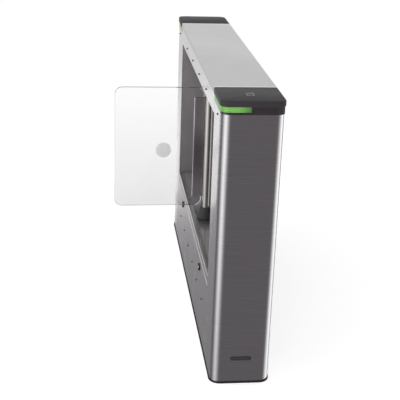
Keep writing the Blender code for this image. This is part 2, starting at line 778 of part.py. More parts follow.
def make_badge():
    """The small bare plate low on the front face."""
    face = FRONT_Y + SHELL_INSET - FIT
    half = BADGE_WIDTH / 2
    low = BADGE_LEVEL - BADGE_HEIGHT / 2
    high = BADGE_LEVEL + BADGE_HEIGHT / 2
    radius = BADGE_HEIGHT / 2 - WELD
    corners = [(-half, low, radius), (half, low, radius), (half, high, radius), (-half, high, radius)]
    outline = rounded_path(corners, steps=SMALL_CORNER_STEPS)
    upright_plate("badge_plate", [outline], face - BADGE_DEPTH, face, "polished_steel", None,
                  (0, BADGE_LEVEL))


def make_uprights():
    """A folded post inside each column, from the floor plate to the cap."""
    half = UPRIGHT_WIDTH / 2
    front = FRONT_Y + UPRIGHT_SETBACK
    path = [(-half, front + UPRIGHT_DEPTH), (-half, front), (half, front), (half, front + UPRIGHT_DEPTH)]
    for label, end in (("front", -1), ("rear", 1)):
        wall(label + "_upright", mirrored(path, end), SHELL_LOW, CAP_LOW - FIT, UPRIGHT_SHEET,
             "zinc_steel")


def make_recess():
    """The dark sheets that line the space the wing folds into."""
    front = WINDOW_FRONT_Y + FIT
    rear = WINDOW_REAR_Y - FIT
    lane = -SKIN_X + RAIL_FLANGE + FIT
    outer = BACK_PANEL_X - FIT
    floor = tray("recess_floor", (lane, front, SILL_HEIGHT - FLANGE), (outer, rear, SILL_HEIGHT),
                 ("-Z",), "recess_sheet")
    shaft_hole = cylinder_cut("shaft_hole", TUBE_RADIUS + BOOT_BORE_CLEARANCE,
                              (SHAFT_X, SHAFT_Y, SILL_HEIGHT - CUT_OVERRUN),
                              (SHAFT_X, SHAFT_Y, SILL_HEIGHT + CUT_OVERRUN), TURN_STEPS)
    boolean(floor, shaft_hole)
    ceiling = tray("recess_ceiling", (lane, front, HEAD_HEIGHT), (outer, rear, HEAD_HEIGHT + FLANGE),
                   ("+Z",), "recess_sheet")
    pivot_hole = cylinder_cut("pivot_hole", PIVOT_HOLE_RADIUS,
                              (SHAFT_X, SHAFT_Y, HEAD_HEIGHT - CUT_OVERRUN),
                              (SHAFT_X, SHAFT_Y, HEAD_HEIGHT + CUT_OVERRUN))
    boolean(ceiling, pivot_hole)
    low = SILL_HEIGHT + FIT
    high = HEAD_HEIGHT - FIT
    side = INNER_X - FIT
    tray("recess_front_wall", (-side, WINDOW_FRONT_Y - FLANGE, low), (outer, WINDOW_FRONT_Y, high),
         ("-Y",), "recess_sheet")
    tray("recess_rear_wall", (-side, WINDOW_REAR_Y, low), (outer, WINDOW_REAR_Y + FLANGE, high),
         ("+Y",), "recess_sheet")
    tray("recess_back_panel", (BACK_PANEL_X, front, low), (BACK_PANEL_X + BACK_PANEL_DEPTH, rear, high),
         ("+X",), "recess_sheet")


def sensor_strip(name, places, level, parent=None):
    """A sensor board's carrier behind the lane side, with a lens barrel in each hole."""
    back = -INNER_X + FIT
    low = (back, places[0] - SENSOR_STRIP_END, level - SENSOR_STRIP_HEIGHT / 2)
    high = (back + SENSOR_STRIP_DEPTH, places[-1] + SENSOR_STRIP_END, level + SENSOR_STRIP_HEIGHT / 2)
    made = box(name, low, high, "dark_housing", parent)
    for y in places:
        barrel = cylinder_cut("lens_barrel", SENSOR_LENS_RADIUS, (-SKIN_X - SENSOR_LENS_PROUD, y, level),
                              (back + SENSOR_STRIP_DEPTH / 2, y, level), TINY_TURN_STEPS)
        boolean(made, barrel, "UNION")
    return made


def door_sensor_places():
    """Positions of the door's lenses along the cabinet."""
    first = DOOR_CENTRE_Y - DOOR_SENSOR_PITCH * (DOOR_SENSORS - 1) / 2
    return [first + DOOR_SENSOR_PITCH * k for k in range(DOOR_SENSORS)]


def make_door():
    """The access door, rolled round its hinge rod at the foot, and what rides on it."""
    hinge = joint_empty("door_axis", (HINGE_X, DOOR_CENTRE_Y, HINGE_Z))
    front = WINDOW_FRONT_Y + DOOR_GAP
    rear = DOOR_REAR_Y - DOOR_GAP
    door = tray("access_door", (-SKIN_X, front, HINGE_Z), (-SKIN_X + FLANGE, rear, DOOR_TOP - DOOR_GAP),
                ("+X", "-Z"), "brushed_steel", hinge)
    roll = cylinder_cut("hinge_roll", HINGE_ROLL_RADIUS, (HINGE_X, front, HINGE_Z),
                        (HINGE_X, rear, HINGE_Z))
    roll_bore = cylinder_cut("roll_bore", HINGE_ROD_RADIUS + FIT,
                             (HINGE_X, front - CUT_OVERRUN, HINGE_Z),
                             (HINGE_X, rear + CUT_OVERRUN, HINGE_Z), TINY_TURN_STEPS)
    boolean(door, roll, "UNION")
    boolean(door, roll_bore)
    places = door_sensor_places()
    for y in places:
        boolean(door, sensor_hole(y, DOOR_SENSOR_LEVEL))
    sensor_strip("door_sensor_strip", places, DOOR_SENSOR_LEVEL, hinge)
    for label, side in (("front", -1), ("rear", 1)):
        make_lock(label, side, door, hinge)
    make_hinge_rod(front, rear)


def make_hinge_rod(front, rear):
    """The rod that the door turns on, with the block at each end that stands on the floor plate."""
    made = cylinder_cut("door_hinge_rod", HINGE_ROD_RADIUS, (HINGE_X, front - HINGE_ROD_ENTRY, HINGE_Z),
                        (HINGE_X, rear + HINGE_ROD_ENTRY, HINGE_Z), TINY_TURN_STEPS)
    side = -INNER_X + FIT
    top = SHELL_LOW + HINGE_BLOCK_HEIGHT
    front_block = front - 2 * FIT
    rear_block = rear + 2 * FIT
    spans = ((front_block - HINGE_BLOCK_LENGTH, front_block),
             (rear_block, rear_block + HINGE_BLOCK_LENGTH))
    for low, high in spans:
        block = box("hinge_block", (side, low, SHELL_LOW), (side + HINGE_BLOCK_DEPTH, high, top), "zinc_steel")
        boolean(made, block, "UNION")


def make_lock(label, side, door, hinge):
    """One cam lock: its body in the door, and its plug with the cam that turns in it."""
    y = DOOR_CENTRE_Y + side * LOCK_SPREAD
    hole = cylinder_cut("lock_hole", LOCK_BARREL_RADIUS + FIT, (-SKIN_X - CUT_OVERRUN, y, LOCK_LEVEL),
                        (-INNER_X + SHEET, y, LOCK_LEVEL))
    boolean(door, hole)
    seat = FIT
    face = seat + LOCK_FACE_PROUD
    bore = LOCK_PLUG_RADIUS + FIT
    profile = [(LOCK_GROOVE_RADIUS, face), (LOCK_FACE_RADIUS - LOCK_FACE_CHAMFER, face),
               (LOCK_FACE_RADIUS, face - LOCK_FACE_CHAMFER), (LOCK_FACE_RADIUS, seat),
               (LOCK_BARREL_RADIUS, seat), (LOCK_BARREL_RADIUS, -LOCK_BARREL_LENGTH),
               (bore, -LOCK_BARREL_LENGTH), (bore, face - LOCK_GROOVE_DEPTH),
               (LOCK_GROOVE_RADIUS, face - LOCK_GROOVE_DEPTH)]
    turned(label + "_lock_body", profile, (-SKIN_X, y, LOCK_LEVEL), "polished_steel", hinge, (-1, 0, 0),
           SMALL_TURN_STEPS, ring=True)
    axis = joint_empty(label + "_lock_axis", (-SKIN_X, y, LOCK_LEVEL), hinge)
    cam_face = -LOCK_BARREL_LENGTH - FIT
    plug_profile = [(0, face - LOCK_PLUG_SINK), (LOCK_PLUG_RADIUS, face - LOCK_PLUG_SINK),
                    (LOCK_PLUG_RADIUS, cam_face - CAM_THICKNESS / 2), (0, cam_face - CAM_THICKNESS / 2)]
    plug = turned(label + "_lock_plug", plug_profile, (0, 0, 0), "polished_steel", None, (-1, 0, 0),
                  SMALL_TURN_STEPS)
    plug.parent = axis
    cam_back = -SKIN_X - cam_face
    cam = box("cam", (cam_back, y - CAM_WIDTH / 2, LOCK_LEVEL - CAM_WIDTH / 2),
              (cam_back + CAM_THICKNESS, y + CAM_REACH, LOCK_LEVEL + CAM_WIDTH / 2), "zinc_steel")
    if side > 0:
        cam.location.y = 2 * y - cam.location.y
    boolean(plug, cam, "UNION")
    keyway = box("keyway", (-SKIN_X - CUT_OVERRUN, y - KEYWAY_WIDTH / 2, LOCK_LEVEL - KEYWAY_LENGTH / 2),
                 (-SKIN_X - face + LOCK_PLUG_SINK + KEYWAY_DEPTH, y + KEYWAY_WIDTH / 2,
                  LOCK_LEVEL + KEYWAY_LENGTH / 2), "zinc_steel")
    boolean(plug, keyway)


def make_sensors():
    """The upper sensor strip, which runs behind the rail and into both columns."""
    distances = (UPPER_SENSOR_NEAR, UPPER_SENSOR_MIDDLE, UPPER_SENSOR_FAR)
    places = [-distance for distance in reversed(distances)] + list(distances)
    sensor_strip("upper_sensor_strip", places, UPPER_SENSOR_LEVEL)


def make_bridge():
    """The folded bridge on the floor plate that carries the whole drive."""
    front = SHAFT_Y - BRIDGE_FRONT_REACH
    rear = SHAFT_Y + BRIDGE_REAR_REACH
    foot = SHELL_LOW + BRIDGE_PLATE
    profile = [(front - BRIDGE_FOOT, foot), (front, foot), (front, BRIDGE_TOP),
               (rear, BRIDGE_TOP), (rear, foot), (rear + BRIDGE_FOOT, foot)]
    width = BRIDGE_LANE_REACH + BRIDGE_OUTER_REACH
    mesh = curve_mesh("drive_bridge", [profile], width, "NONE", closed=False)
    middle = SHAFT_X + (BRIDGE_OUTER_REACH - BRIDGE_LANE_REACH) / 2
    made = add_object("drive_bridge", mesh, "zinc_steel", (middle, 0, 0))
    made.rotation_euler = (math.pi / 2, 0, math.pi / 2)
    top = max(mesh.polygons, key=lambda face: face.center.y)
    thicken(made, BRIDGE_PLATE, -1 if top.normal.y > 0 else 1)
    above = BRIDGE_TOP + CUT_OVERRUN
    below = BRIDGE_UNDER - CUT_OVERRUN
    boolean(made, cylinder_cut("bridge_shaft_hole", SHAFT_RADIUS + SHEET, (SHAFT_X, SHAFT_Y, below),
                               (SHAFT_X, SHAFT_Y, above)))
    boolean(made, cylinder_cut("bridge_pinion_hole", PINION_HOLE_RADIUS, (PINION_X, PINION_Y, below),
                               (PINION_X, PINION_Y, above)))


def bearing_housing(name, low, bearing_radius):
    """A flanged housing with its bearing seated in it."""
    bore = bearing_radius + FIT
    floor = HOUSING_HEIGHT - BEARING_HEIGHT - FIT
    through = bearing_radius - SHEET
    profile = [(bore, HOUSING_HEIGHT), (HOUSING_BOSS_RADIUS, HOUSING_HEIGHT),
               (HOUSING_BOSS_RADIUS, HOUSING_FLANGE_HEIGHT), (HOUSING_FLANGE_RADIUS, HOUSING_FLANGE_HEIGHT),
               (HOUSING_FLANGE_RADIUS, 0), (through, 0), (through, floor), (bore, floor)]
    return turned(name, profile, (SHAFT_X, SHAFT_Y, low), "cast_aluminium", ring=True)


def bearing(name, low, bore, radius):
    """A bearing ring."""
    profile = [(bore, BEARING_HEIGHT), (radius, BEARING_HEIGHT), (radius, 0), (bore, 0)]
    turned(name, profile, (SHAFT_X, SHAFT_Y, low), "polished_steel", ring=True)


def make_bearings():
    """The lower bearing on the bridge and the upper one above the recess."""
    offset = HOUSING_HEIGHT - BEARING_HEIGHT
    bearing_housing("lower_bearing_housing", HOUSING_LOW, BEARING_RADIUS)
    bearing("lower_bearing", HOUSING_LOW + offset, SHAFT_RADIUS + FIT, BEARING_RADIUS)
    upper_low = HEAD_HEIGHT + SHEET + FIT
    bearing_housing("upper_bearing_housing", upper_low, PIVOT_BEARING_RADIUS)
    bearing("upper_bearing", upper_low + offset, PIVOT_PIN_RADIUS + FIT, PIVOT_BEARING_RADIUS)


def brake_levels():
    """Top of the brake coil, top of its disc and the foot of the drive shaft."""
    coil_top = BRIDGE_UNDER - FIT
    disc_top = coil_top - BRAKE_COIL_HEIGHT - BRAKE_AIR_GAP
    foot = disc_top - BRAKE_DISC_HEIGHT - SHAFT_END_LENGTH
    return coil_top, disc_top, foot


def make_drive_shaft(wing):
    """The turned shaft with the brake disc on it, which plugs into the foot of the tube."""
    _, disc_top, foot = brake_levels()
    disc_low = disc_top - BRAKE_DISC_HEIGHT
    plug_radius = TUBE_BORE - FIT
    plug_low = TUBE_BOTTOM
    plug_top = TUBE_BOTTOM + SHAFT_PLUG_LENGTH
    profile = [(0, plug_top), (plug_radius, plug_top), (plug_radius, plug_low - FIT),
               (SHAFT_RADIUS, plug_low - FIT), (SHAFT_RADIUS, disc_top), (BRAKE_RADIUS, disc_top),
               (BRAKE_RADIUS, disc_low), (SHAFT_END_RADIUS, disc_low), (SHAFT_END_RADIUS, foot), (0, foot)]
    placed = [(radius, height - disc_top) for radius, height in profile]
    turned("drive_shaft", placed, (SHAFT_X, SHAFT_Y, disc_top), "zinc_steel", wing)


def make_brake():
    """The brake's coil, hung under the bridge."""
    coil_top = brake_levels()[0]
    bore = SHAFT_RADIUS + SHEET
    profile = [(bore, 0), (BRAKE_RADIUS, 0), (BRAKE_RADIUS, -BRAKE_COIL_HEIGHT), (bore, -BRAKE_COIL_HEIGHT)]
    turned("brake_coil", profile, (SHAFT_X, SHAFT_Y, coil_top), "dark_housing", ring=True)


def tooth_half_angle(radius, pitch, teeth):
    """Half the angle that an involute tooth fills at a radius."""
    base = pitch * math.cos(PRESSURE_ANGLE)
    here = math.acos(base / max(radius, base))
    at_pitch = math.pi / (2 * teeth) - GEAR_BACKLASH / (4 * pitch)
    return at_pitch + (math.tan(PRESSURE_ANGLE) - PRESSURE_ANGLE) - (math.tan(here) - here)


def gear_outline(teeth, phase):
    """Involute outline of a gear with one tooth at the given angle."""
    pitch = GEAR_MODULE * teeth / 2
    root = pitch - ROOT_DEPTH_SHARE * GEAR_MODULE
    tip = pitch + GEAR_MODULE
    radii = (root, pitch, tip)
    points = []
    for tooth in range(teeth):
        middle = phase + 2 * math.pi * tooth / teeth
        rising = [(radius, middle - tooth_half_angle(radius, pitch, teeth)) for radius in radii]
        falling = [(radius, middle + tooth_half_angle(radius, pitch, teeth)) for radius in reversed(radii)]
        for radius, angle in rising + falling:
            points.append((radius * math.cos(angle), radius * math.sin(angle)))
    return points


def make_drive_gear(wing):
    """The large gear on the shaft, drilled to save weight."""
    bore = circle(SHAFT_RADIUS + FIT, steps=INNER_TURN_STEPS)
    loops = [gear_outline(GEAR_TEETH, PINION_DIRECTION), bore]
    for hole in range(GEAR_HOLES):
        angle = PINION_DIRECTION + math.pi * (2 * hole + 1) / GEAR_HOLES
        centre = (GEAR_HOLE_CIRCLE * math.cos(angle), GEAR_HOLE_CIRCLE * math.sin(angle))
        loops.append(circle(GEAR_HOLE_RADIUS, centre))
    mesh = curve_mesh("drive_gear", loops, GEAR_FACE)
    made = add_object("drive_gear", mesh, "zinc_steel",
                      (SHAFT_X, SHAFT_Y, GEAR_LOW + GEAR_FACE / 2), wing)
    bore_radius = SHAFT_RADIUS + FIT
    hub_profile = [(bore_radius, GEAR_HUB_HEIGHT), (GEAR_HUB_RADIUS, GEAR_HUB_HEIGHT),
                   (GEAR_HUB_RADIUS, -GEAR_FACE / 2), (bore_radius, -GEAR_FACE / 2)]
    hub = turned("gear_hub", hub_profile, (SHAFT_X, SHAFT_Y, GEAR_LOW + GEAR_FACE), "zinc_steel", ring=True)
    boolean(made, hub, "UNION")


def make_pinion():
    """The motor's pinion with the gearbox's output shaft."""
    axis = joint_empty("pinion_axis", (PINION_X, PINION_Y, GEAR_LOW))
    half_gap = math.pi / PINION_TEETH
    face = GEAR_FACE + 2 * PINION_EXTRA_FACE
    mesh = curve_mesh("pinion", [gear_outline(PINION_TEETH, PINION_DIRECTION + math.pi + half_gap)], face)
    made = add_object("pinion", mesh, "polished_steel",
                      (PINION_X, PINION_Y, GEAR_LOW + GEAR_FACE / 2), axis)
    foot = BRIDGE_UNDER - FIT - GEARBOX_BORE_DEPTH + FIT
    top = GEAR_LOW + GEAR_FACE / 2
    profile = [(0, top - foot), (PINION_SHAFT_RADIUS, top - foot), (PINION_SHAFT_RADIUS, 0), (0, 0)]
    shaft = turned("pinion_shaft", profile, (PINION_X, PINION_Y, foot), "polished_steel",
                   steps=SMALL_TURN_STEPS)
    boolean(made, shaft, "UNION")


def make_gear_motor():
    """The planetary gearbox under the bridge and the motor below it."""
    top = BRIDGE_UNDER - FIT
    bore = PINION_SHAFT_RADIUS + FIT
    step = GEARBOX_RADIUS - GEARBOX_FLANGE_STEP
    lower_flange = GEARBOX_FLANGE_HEIGHT - GEARBOX_LENGTH
    profile = [(0, -GEARBOX_BORE_DEPTH), (bore, -GEARBOX_BORE_DEPTH), (bore, 0), (GEARBOX_RADIUS, 0),
               (GEARBOX_RADIUS, -GEARBOX_FLANGE_HEIGHT), (step, -GEARBOX_FLANGE_HEIGHT),
               (step, lower_flange), (GEARBOX_RADIUS, lower_flange), (GEARBOX_RADIUS, -GEARBOX_LENGTH),
               (0, -GEARBOX_LENGTH)]
    turned("planetary_gearbox", profile, (PINION_X, PINION_Y, top), "cast_aluminium")
    motor_top = top - GEARBOX_LENGTH - FIT
    groove = MOTOR_RADIUS - MOTOR_GROOVE
    cap = MOTOR_RADIUS - MOTOR_CAP_STEP
    seam = MOTOR_CAP_LENGTH
    foot = MOTOR_LENGTH - MOTOR_CAP_LENGTH
    motor = [(0, 0), (MOTOR_RADIUS, 0), (MOTOR_RADIUS, -seam), (groove, -seam), (groove, -seam - SHEET),
             (MOTOR_RADIUS, -seam - SHEET), (MOTOR_RADIUS, -foot), (cap, -foot), (cap, -MOTOR_LENGTH),
             (0, -MOTOR_LENGTH)]
    turned("drive_motor", motor, (PINION_X, PINION_Y, motor_top), "dark_housing")


def make_encoder(wing):
    """The slotted encoder disc at the shaft's foot and its fixed reading head."""
    foot = brake_levels()[2]
    low = foot + ENCODER_DROP
    outline = []
    pitch = 2 * math.pi / ENCODER_SLOTS
    inner = ENCODER_RADIUS - ENCODER_SLOT_DEPTH
    for slot in range(ENCODER_SLOTS):
        for radius, share in ((ENCODER_RADIUS, 0), (ENCODER_RADIUS, ENCODER_TOOTH_SHARE),
                              (inner, ENCODER_TOOTH_SHARE), (inner, 1)):
            angle = pitch * (slot + share)
            outline.append((radius * math.cos(angle), radius * math.sin(angle)))
    bore = circle(SHAFT_END_RADIUS + FIT, steps=SMALL_TURN_STEPS)
    mesh = curve_mesh("encoder_disc", [outline, bore], ENCODER_THICKNESS)
    add_object("encoder_disc", mesh, "polished_steel", (SHAFT_X, SHAFT_Y, low + ENCODER_THICKNESS / 2), wing)
    level = low + ENCODER_THICKNESS / 2
    leg = SHAFT_Y - BRIDGE_FRONT_REACH + BRIDGE_PLATE + FIT
    reach = SHAFT_Y - ENCODER_RADIUS + READHEAD_OVERLAP
    head = box("encoder_head", (SHAFT_X - READHEAD_WIDTH / 2, leg, level - READHEAD_HEIGHT / 2),
               (SHAFT_X + READHEAD_WIDTH / 2, reach, level + READHEAD_HEIGHT / 2), "dark_housing")
    slot_start = SHAFT_Y - ENCODER_RADIUS - READHEAD_SLOT
    slot = box("head_slot", (SHAFT_X - READHEAD_WIDTH, slot_start, level - READHEAD_SLOT / 2),
               (SHAFT_X + READHEAD_WIDTH, reach + CUT_OVERRUN, level + READHEAD_SLOT / 2), "dark_housing")
    boolean(head, slot)


def make_stops(wing):
    """The arm on the shaft and the two buffers that end its swing."""
    half = STOP_ARM_WIDTH / 2
    start = math.asin(half / STOP_HUB_RADIUS)
    hub = []
    for step in range(INNER_TURN_STEPS + 1):
        angle = start + (2 * math.pi - 2 * start) * step / INNER_TURN_STEPS
        hub.append((STOP_HUB_RADIUS * math.cos(angle), STOP_HUB_RADIUS * math.sin(angle)))
    outline = hub + [(STOP_ARM_REACH, -half), (STOP_ARM_REACH, half)]
    bore = circle(SHAFT_RADIUS + FIT, steps=INNER_TURN_STEPS)
    mesh = curve_mesh("stop_arm", [outline, bore], STOP_ARM_HEIGHT)
    add_object("stop_arm", mesh, "zinc_steel", (SHAFT_X, SHAFT_Y, STOP_LOW + STOP_ARM_HEIGHT / 2), wing)
    top = SILL_HEIGHT - SHEET - FIT
    rubber_top = STOP_LOW + STOP_ARM_HEIGHT + BUFFER_DROP
    rubber_low = STOP_LOW - BUFFER_DROP
    profile = [(0, 0), (BUFFER_FLANGE_RADIUS, 0), (BUFFER_FLANGE_RADIUS, -BUFFER_FLANGE_HEIGHT),
               (BUFFER_STEM_RADIUS, -BUFFER_FLANGE_HEIGHT), (BUFFER_STEM_RADIUS, rubber_top - top),
               (BUFFER_RADIUS, rubber_top - top), (BUFFER_RADIUS, rubber_low - top), (0, rubber_low - top)]
    x = SHAFT_X - half - BUFFER_CLEARANCE - BUFFER_RADIUS
    for label, side in (("front", -1), ("rear", 1)):
        turned(label + "_stop_buffer", profile, (x, SHAFT_Y + side * BUFFER_REACH, top), "boot_rubber",
               steps=SMALL_TURN_STEPS)


def make_tube(wing):
    """The wing's tube with its upper pivot."""
    profile = [(TUBE_BORE, TUBE_TOP), (TUBE_RADIUS, TUBE_TOP), (TUBE_RADIUS, TUBE_BOTTOM),
               (TUBE_BORE, TUBE_BOTTOM)]
    placed = [(radius, height - TUBE_BOTTOM) for radius, height in profile]
    turned("wing_tube", placed, (SHAFT_X, SHAFT_Y, TUBE_BOTTOM), "polished_steel", wing,
           steps=TURN_STEPS, ring=True)
    plug = TUBE_BORE - FIT
    flange_low = FIT
    flange_top = flange_low + PIVOT_FLANGE_HEIGHT
    pin_top = flange_top + PIVOT_PIN_LENGTH
    pivot = [(0, pin_top), (PIVOT_PIN_RADIUS, pin_top), (PIVOT_PIN_RADIUS, flange_top),
             (TUBE_RADIUS, flange_top), (TUBE_RADIUS, flange_low), (plug, flange_low),
             (plug, -PIVOT_PLUG_LENGTH), (0, -PIVOT_PLUG_LENGTH)]
    turned("upper_pivot", pivot, (SHAFT_X, SHAFT_Y, TUBE_TOP), "zinc_steel", wing)


def screw_levels():
    """Heights of the clamp screws."""
    inset = CLAMP_END_INSET + SCREW_END
    return [("lower", GLASS_BOTTOM + inset), ("middle", GLASS_MIDDLE), ("upper", GLASS_TOP - inset)]


def screw_hole(level):
    """Cutter for a screw right through the wing."""
    return cylinder_cut("screw_hole", SCREW_RADIUS + FIT, (SCREW_X, SHAFT_Y - CUT_OVERRUN, level),
                        (SCREW_X, SHAFT_Y + CUT_OVERRUN, level), TINY_TURN_STEPS)


def make_glass(wing):
    """The glass of the wing, drilled for the clamp screws."""
    corners = [(GLASS_OUTER_X, GLASS_BOTTOM, GLASS_CORNER), (GLASS_INNER_X, GLASS_BOTTOM, GLASS_CORNER),
               (GLASS_INNER_X, GLASS_TOP, GLASS_CORNER), (GLASS_OUTER_X, GLASS_TOP, GLASS_CORNER)]
    outline = rounded_path(corners)
    half = GLASS_THICKNESS / 2
    glass = upright_plate("glass_wing", [outline], SHAFT_Y - half, SHAFT_Y + half, "glass", wing,
                          (GLASS_INNER_X, GLASS_MIDDLE))
    rounding = glass.modifiers.new("ground_edge", "BEVEL")
    rounding.width = GLASS_EDGE_ROUND
    rounding.segments = 1
    rounding.angle_limit = EDGE_ANGLE
    for _, level in screw_levels():
        boolean(glass, screw_hole(level))


def make_clamps(wing):
    """The two clamp plates, the gasket between them and the screws."""
    low = GLASS_BOTTOM + CLAMP_END_INSET
    high = GLASS_TOP - CLAMP_END_INSET
    lane = CLAMP_INNER_X - CLAMP_WIDTH
    corners = [(lane, low, CLAMP_CORNER), (CLAMP_INNER_X, low, 0), (CLAMP_INNER_X, high, 0),
               (lane, high, CLAMP_CORNER)]
    outline = rounded_path(corners, steps=SMALL_CORNER_STEPS)
    for label, side in (("front", -1), ("rear", 1)):
        inner = SHAFT_Y + side * CLAMP_INNER_OFFSET
        outer = SHAFT_Y + side * CLAMP_OUTER_OFFSET
        clamp = upright_plate(label + "_clamp_plate", [outline], min(inner, outer), max(inner, outer),
                              "clamp_steel", wing, (CLAMP_INNER_X, GLASS_MIDDLE))
        rounding = clamp.modifiers.new("edge", "BEVEL")
        rounding.width = CLAMP_EDGE_ROUND
        rounding.segments = 1
        rounding.angle_limit = EDGE_ANGLE
        for _, level in screw_levels():
            head_floor = outer - side * (SCREW_HEAD_HEIGHT + FIT)
            inside = (SCREW_X, inner - side * CUT_OVERRUN, level)
            outside = (SCREW_X, outer + side * CUT_OVERRUN, level)
            boolean(clamp, cylinder_cut("clamp_hole", SCREW_RADIUS + FIT, inside, outside, TINY_TURN_STEPS))
            boolean(clamp, cylinder_cut("head_hole", SCREW_HEAD_RADIUS + FIT, (SCREW_X, head_floor, level),
                                        outside, TINY_TURN_STEPS))
    make_gasket(wing, lane + GASKET_LIP, low + GASKET_LIP, high - GASKET_LIP)
    length = CLAMP_OUTER_OFFSET
    neck = length - SCREW_HEAD_HEIGHT
    floor = length - SCREW_SOCKET_DEPTH
    profile = [(0, floor), (SCREW_SOCKET_RADIUS, floor), (SCREW_SOCKET_RADIUS, length),
               (SCREW_HEAD_RADIUS, length), (SCREW_HEAD_RADIUS, neck),
               (SCREW_RADIUS, neck), (SCREW_RADIUS, -neck), (SCREW_HEAD_RADIUS, -neck),
               (SCREW_HEAD_RADIUS, -length), (0, -length)]
    for label, level in screw_levels():
        turned(label + "_clamp_screw", profile, (SCREW_X, SHAFT_Y, level), "polished_steel", wing,
               (0, -1, 0), TINY_TURN_STEPS)


def make_gasket(wing, lane, low, high):
    """The thin gasket folded round the inner edge of the glass."""
    outer = GLASS_THICKNESS / 2 + FIT + GASKET_THICKNESS
    path = [(lane, SHAFT_Y - outer), (GASKET_WEB_X, SHAFT_Y - outer), (GASKET_WEB_X, SHAFT_Y + outer),
            (lane, SHAFT_Y + outer)]
    gasket = wall("clamp_gasket", path, low, high, GASKET_THICKNESS, "boot_rubber", wing)
    for _, level in screw_levels():
        boolean(gasket, screw_hole(level))


def make_boot():
    """The flared boot on the recess floor round the foot of the tube."""
    bore = TUBE_RADIUS + BOOT_BORE_CLEARANCE
    flare = BOOT_FOOT_RADIUS - BOOT_TOP_RADIUS
    rise = BOOT_HEIGHT - BOOT_LIP
    profile = [(bore, BOOT_HEIGHT)]
    for step in range(CORNER_STEPS + 1):
        share = step / CORNER_STEPS
        profile.append((BOOT_TOP_RADIUS + flare * share ** BOOT_FLARE_POWER, BOOT_LIP + rise * (1 - share)))
    profile += [(BOOT_FOOT_RADIUS, 0), (bore, 0)]
    turned("shaft_boot", profile, (SHAFT_X, SHAFT_Y, SILL_HEIGHT + FIT), "boot_rubber",
           steps=TURN_STEPS, ring=True)


def finned_case(name, y, length, width, height, material):
    """An electronics case on the floor plate, ribbed on top."""
    low = SHELL_LOW
    made = box(name, (-width / 2, y - length / 2, low), (width / 2, y + length / 2, low + height), material,
               edge_round=CASE_ROUND)
    pitch = length / (CASE_FINS + 1)
    for fin in range(CASE_FINS):
        middle = y - length / 2 + pitch * (fin + 1)
        side = width / 2 - 2 * CASE_ROUND
        half = CASE_FIN_WIDTH / 2
        rib = box("case_rib", (-side, middle - half, low + height / 2),
                  (side, middle + half, low + height + CASE_FIN_HEIGHT), material)
        boolean(made, rib, "UNION")


def make_electronics():
    """The lane controller and the power supply."""
    finned_case("lane_controller", CONTROL_Y, CONTROL_LENGTH, CONTROL_WIDTH, CONTROL_HEIGHT, "dark_housing")
    finned_case("power_supply", SUPPLY_Y, SUPPLY_LENGTH, SUPPLY_WIDTH, SUPPLY_HEIGHT, "cast_aluminium")


def make_wing():
    """Everything that turns with the wing."""
    wing = joint_empty("wing_axis", (SHAFT_X, SHAFT_Y, SILL_HEIGHT))
    make_drive_shaft(wing)
    make_drive_gear(wing)
    make_encoder(wing)
    make_stops(wing)
    make_tube(wing)
    make_glass(wing)
    make_clamps(wing)


make_base_plate()
make_columns()
make_rails()
make_outer_panel()
make_lid()
make_caps()
make_badge()
make_uprights()
make_recess()
make_door()
make_sensors()
make_bridge()
make_bearings()
make_brake()
make_pinion()
make_gear_motor()
make_boot()
make_electronics()
make_wing()
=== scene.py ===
"""The look of the swing barrier turnstile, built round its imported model. Metres, +Z up."""

import json
import math

import bmesh
import bpy
from mathutils import Matrix, Vector


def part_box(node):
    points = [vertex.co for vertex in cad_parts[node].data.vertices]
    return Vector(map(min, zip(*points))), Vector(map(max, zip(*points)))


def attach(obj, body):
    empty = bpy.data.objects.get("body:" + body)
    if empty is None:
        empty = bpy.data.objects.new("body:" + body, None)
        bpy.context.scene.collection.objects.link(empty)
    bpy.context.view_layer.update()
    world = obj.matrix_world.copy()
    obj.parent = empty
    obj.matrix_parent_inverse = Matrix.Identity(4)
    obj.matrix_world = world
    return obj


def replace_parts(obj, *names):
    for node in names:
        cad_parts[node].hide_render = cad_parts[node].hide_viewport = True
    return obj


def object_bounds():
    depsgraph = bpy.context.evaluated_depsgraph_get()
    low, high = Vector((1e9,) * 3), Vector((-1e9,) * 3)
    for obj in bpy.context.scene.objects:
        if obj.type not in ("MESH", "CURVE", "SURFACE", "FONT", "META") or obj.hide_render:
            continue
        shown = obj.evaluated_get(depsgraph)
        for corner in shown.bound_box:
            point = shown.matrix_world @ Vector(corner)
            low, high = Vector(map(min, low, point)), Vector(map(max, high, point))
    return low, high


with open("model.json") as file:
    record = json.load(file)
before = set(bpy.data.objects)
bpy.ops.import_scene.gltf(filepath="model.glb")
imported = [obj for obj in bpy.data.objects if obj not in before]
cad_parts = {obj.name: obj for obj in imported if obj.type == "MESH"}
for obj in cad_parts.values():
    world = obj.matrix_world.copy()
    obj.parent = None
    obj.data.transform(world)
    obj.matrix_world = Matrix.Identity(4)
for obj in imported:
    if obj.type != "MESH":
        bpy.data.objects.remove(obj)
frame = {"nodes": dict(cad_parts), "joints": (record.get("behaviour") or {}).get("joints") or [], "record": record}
CAD_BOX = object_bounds()
NODES = frame["nodes"]
JOINTS = {joint["name"]: joint for joint in frame["joints"]}

# Camera, solved from the photograph's edges and corners
CAMERA_PLACE = (-0.51011, -3.62661, 1.7602)
CAMERA_RIGHT = (0.993547, -0.108387, 0.033411)
CAMERA_UP = (0.006907, 0.351851, 0.936031)
CAMERA_FORWARD = (0.113209, 0.92976, -0.350329)
CAMERA_FOCAL_PIXELS = 970.125
PICTURE_PIXELS = 400
SENSOR_MM = 36.0
CAMERA_REACH = 60

